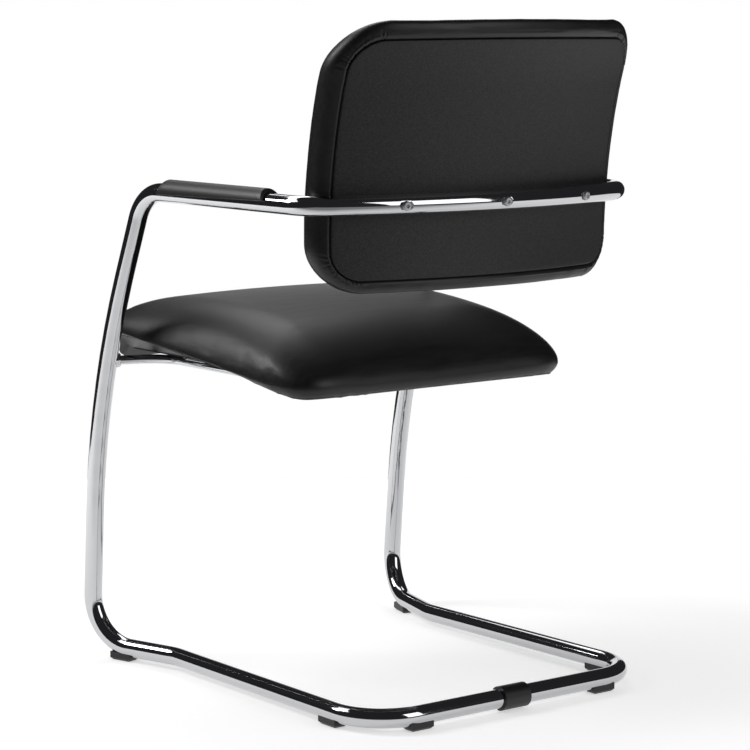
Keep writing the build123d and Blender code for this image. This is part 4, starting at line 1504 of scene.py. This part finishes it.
@dataclass
class Studio:
    """Camera, lights, floor and the dark walls that the chrome mirrors. Floor and room are in metres."""

    camera_place: tuple[float, float, float] = (2142.035, 2471.931, 865.680)
    azimuth: float = 142.037
    pitch: float = 7.851
    roll: float = 0.096
    lens: float = 130.87
    sensor: float = 36.0
    white: str = "ffffff"
    soft_light: float = 0.3
    background: float = 1.0
    paper: str = "e8e8e8"
    paper_left: float = 1.9
    paper_right: float = 3.0
    paper_ahead: float = 1.4
    paper_behind: float = 5.0
    lift_places: tuple[float, float] = (0.6, 1.6)
    lift: tuple[float, float] = (0.48, 0.62)
    # Painted shade on the paper: where it starts and ends towards the camera, and the share of colour and
    # glow kept there.
    floor_painted_shade_places: tuple[float, float] = (0.42, 1.2)
    floor_painted_shade: tuple[float, float] = (1.0, 0.26)
    walls: str = "2a2a2c"
    room_radius: float = 7.0
    room_segments: int = 128
    window: float = 14.0

    def axes(self) -> tuple[np.ndarray, np.ndarray, np.ndarray]:
        """Right, up and back directions of the camera.

        Returns:
            The three directions.
        """
        azimuth = math.radians(self.azimuth)
        pitch = math.radians(self.pitch)
        roll = math.radians(self.roll)
        level = np.array([math.sin(azimuth), -math.cos(azimuth), 0.0])
        back = level * math.cos(pitch) + UP * math.sin(pitch)
        right = np.array([math.cos(azimuth), math.sin(azimuth), 0.0])
        up = np.cross(back, right)
        turned_right = right * math.cos(roll) + up * math.sin(roll)
        turned_up = -right * math.sin(roll) + up * math.cos(roll)
        return turned_right, turned_up, back

    def camera(self) -> None:
        """Set up the camera at the photograph's place."""
        data = bpy.data.cameras.new("camera")
        data.sensor_fit = "HORIZONTAL"
        data.sensor_width = self.sensor
        data.lens = self.lens
        camera = bpy.data.objects.new("camera", data)
        bpy.context.scene.collection.objects.link(camera)
        matrix = Matrix(np.column_stack(self.axes()).tolist()).to_4x4()
        matrix.translation = Vector((np.array(self.camera_place) + REAR_BAR) * MM)
        camera.matrix_world = matrix
        bpy.context.scene.camera = camera

    def looked_at(self, tree: bpy.types.NodeTree) -> bpy.types.NodeSocket:
        """Tell the rays of the camera, of mirrors and of glass from those that light the chair.

        Args:
            tree: The node tree that asks.

        Returns:
            A socket that is 1 for those rays.
        """
        path = add_node(tree, "ShaderNodeLightPath")
        seen = path.outputs["Is Camera Ray"]
        for kind in ("Is Glossy Ray", "Is Transmission Ray"):
            either = add_node(tree, "ShaderNodeMath", {0: seen, 1: path.outputs[kind]}, operation="MAXIMUM")
            seen = either.outputs["Value"]
        return seen

    def world(self) -> None:
        """Soft even light, and white where the camera or a mirror looks past everything."""
        world = bpy.data.worlds.new("studio")
        bpy.context.scene.world = world
        world.use_nodes = True
        tree = world.node_tree
        tree.nodes.clear()
        levels = {"Value": self.looked_at(tree), "To Min": self.soft_light, "To Max": self.background}
        strength = add_node(tree, "ShaderNodeMapRange", levels)
        light = {"Color": linear(self.white), "Strength": strength}
        shader = add_node(tree, "ShaderNodeBackground", light)
        add_node(tree, "ShaderNodeOutputWorld", {"Surface": shader})

    def floor(self) -> None:
        """Lay the white paper, which keeps the chair's soft shadow and is painted greyer towards the camera:
        a painted shade, which the chrome mirrors too.
        """
        right, _, back = self.axes()
        across = unit(np.array([right[0], right[1], 0.0]))
        along = unit(np.array([back[0], back[1], 0.0]))
        near = along * self.paper_behind
        far = -along * self.paper_ahead
        left = -across * self.paper_left
        far_right = across * self.paper_right
        corners = [left + far, far_right + far, far_right + near, left + near]
        mesh = bpy.data.meshes.new("floor")
        mesh.from_pydata([tuple(corner) for corner in corners], [], [(0, 1, 2, 3)])
        floor = bpy.data.objects.new("floor", mesh)
        bpy.context.scene.collection.objects.link(floor)
        material, tree = empty_material("white_paper_floor")
        place = add_node(tree, "ShaderNodeNewGeometry").outputs["Position"]
        distance = add_node(tree, "ShaderNodeVectorMath", {0: place}, operation="LENGTH").outputs["Value"]
        names = ("From Min", "From Max", "To Min", "To Max")
        lift_range = {"Value": distance} | dict(zip(names, self.lift_places + self.lift))
        lift = add_node(tree, "ShaderNodeMapRange", lift_range)
        # Painted shade: the paper's colour and its glow are scaled down towards the camera, as if that part
        # of the floor were in shade.
        towards = {0: place, 1: tuple(along)}
        nearness = add_node(tree, "ShaderNodeVectorMath", towards, operation="DOT_PRODUCT").outputs["Value"]
        floor_painted_shade_range = {"Value": nearness} | dict(zip(names, self.floor_painted_shade_places + self.floor_painted_shade))
        floor_painted_shade = add_node(tree, "ShaderNodeMapRange", floor_painted_shade_range)
        tint = {0: linear(self.paper)[:3], "Scale": floor_painted_shade.outputs["Result"]}
        colour = add_node(tree, "ShaderNodeVectorMath", tint, operation="SCALE")
        paper = add_node(tree, "ShaderNodeBsdfDiffuse", {"Color": colour})
        level = add_node(tree, "ShaderNodeMath", {0: lift, 1: floor_painted_shade}, operation="MULTIPLY")
        glow = add_node(tree, "ShaderNodeEmission", {"Strength": level})
        lifted = add_node(tree, "ShaderNodeAddShader", {0: paper, 1: glow})
        surface = add_node(tree, "ShaderNodeMixShader", {0: self.looked_at(tree), 1: paper, 2: lifted})
        add_node(tree, "ShaderNodeOutputMaterial", {"Surface": surface})
        mesh.materials.append(material)

    def room(self) -> None:
        """Put dark walls round the studio, open where the camera looks out at the white background."""
        mesh = bmesh.new()
        around = self.room_segments
        bmesh.ops.create_uvsphere(mesh, u_segments=around, v_segments=around // 2, radius=self.room_radius)
        back = Vector(self.axes()[2])
        camera = bpy.context.scene.camera.matrix_world.translation
        opening = math.radians(self.window)
        window = [face for face in mesh.faces if (camera - face.calc_center_median()).angle(back) < opening]
        bmesh.ops.delete(mesh, geom=window, context="FACES")
        data = bpy.data.meshes.new("room")
        mesh.to_mesh(data)
        mesh.free()
        room = bpy.data.objects.new("room", data)
        bpy.context.scene.collection.objects.link(room)
        material, tree = empty_material("dark_studio_walls")
        glow = add_node(tree, "ShaderNodeEmission", {"Color": linear(self.walls)})
        add_node(tree, "ShaderNodeOutputMaterial", {"Surface": glow})
        data.materials.append(material)
        room.visible_diffuse = False
        room.visible_shadow = False

    def build(self) -> None:
        """Set up everything round the chair."""
        bpy.context.scene.view_settings.view_transform = "Standard"
        self.camera()
        self.world()
        self.floor()
        self.room()
        for box in SOFT_BOXES:
            box.build()


def main() -> None:
    """Build the chair's pieces in order, and the studio round them."""
    logging.basicConfig(level=logging.INFO, format="%(name)s: %(message)s")
    finishes = Finishes()
    tube = TubeFrame(finishes)
    parts = [
        tube,
        SeatBar(finishes, tube),
        SeatCushion(finishes),
        Backrest(finishes, tube),
        ArmPads(finishes, tube),
        RailScrews(finishes, tube),
        CarriedParts(finishes),
    ]
    for part in parts:
        for piece in part.build():
            log.info("%s has %d faces", piece.name, len(piece.data.polygons))
    Studio().build()


if __name__ == "__main__":
    main()
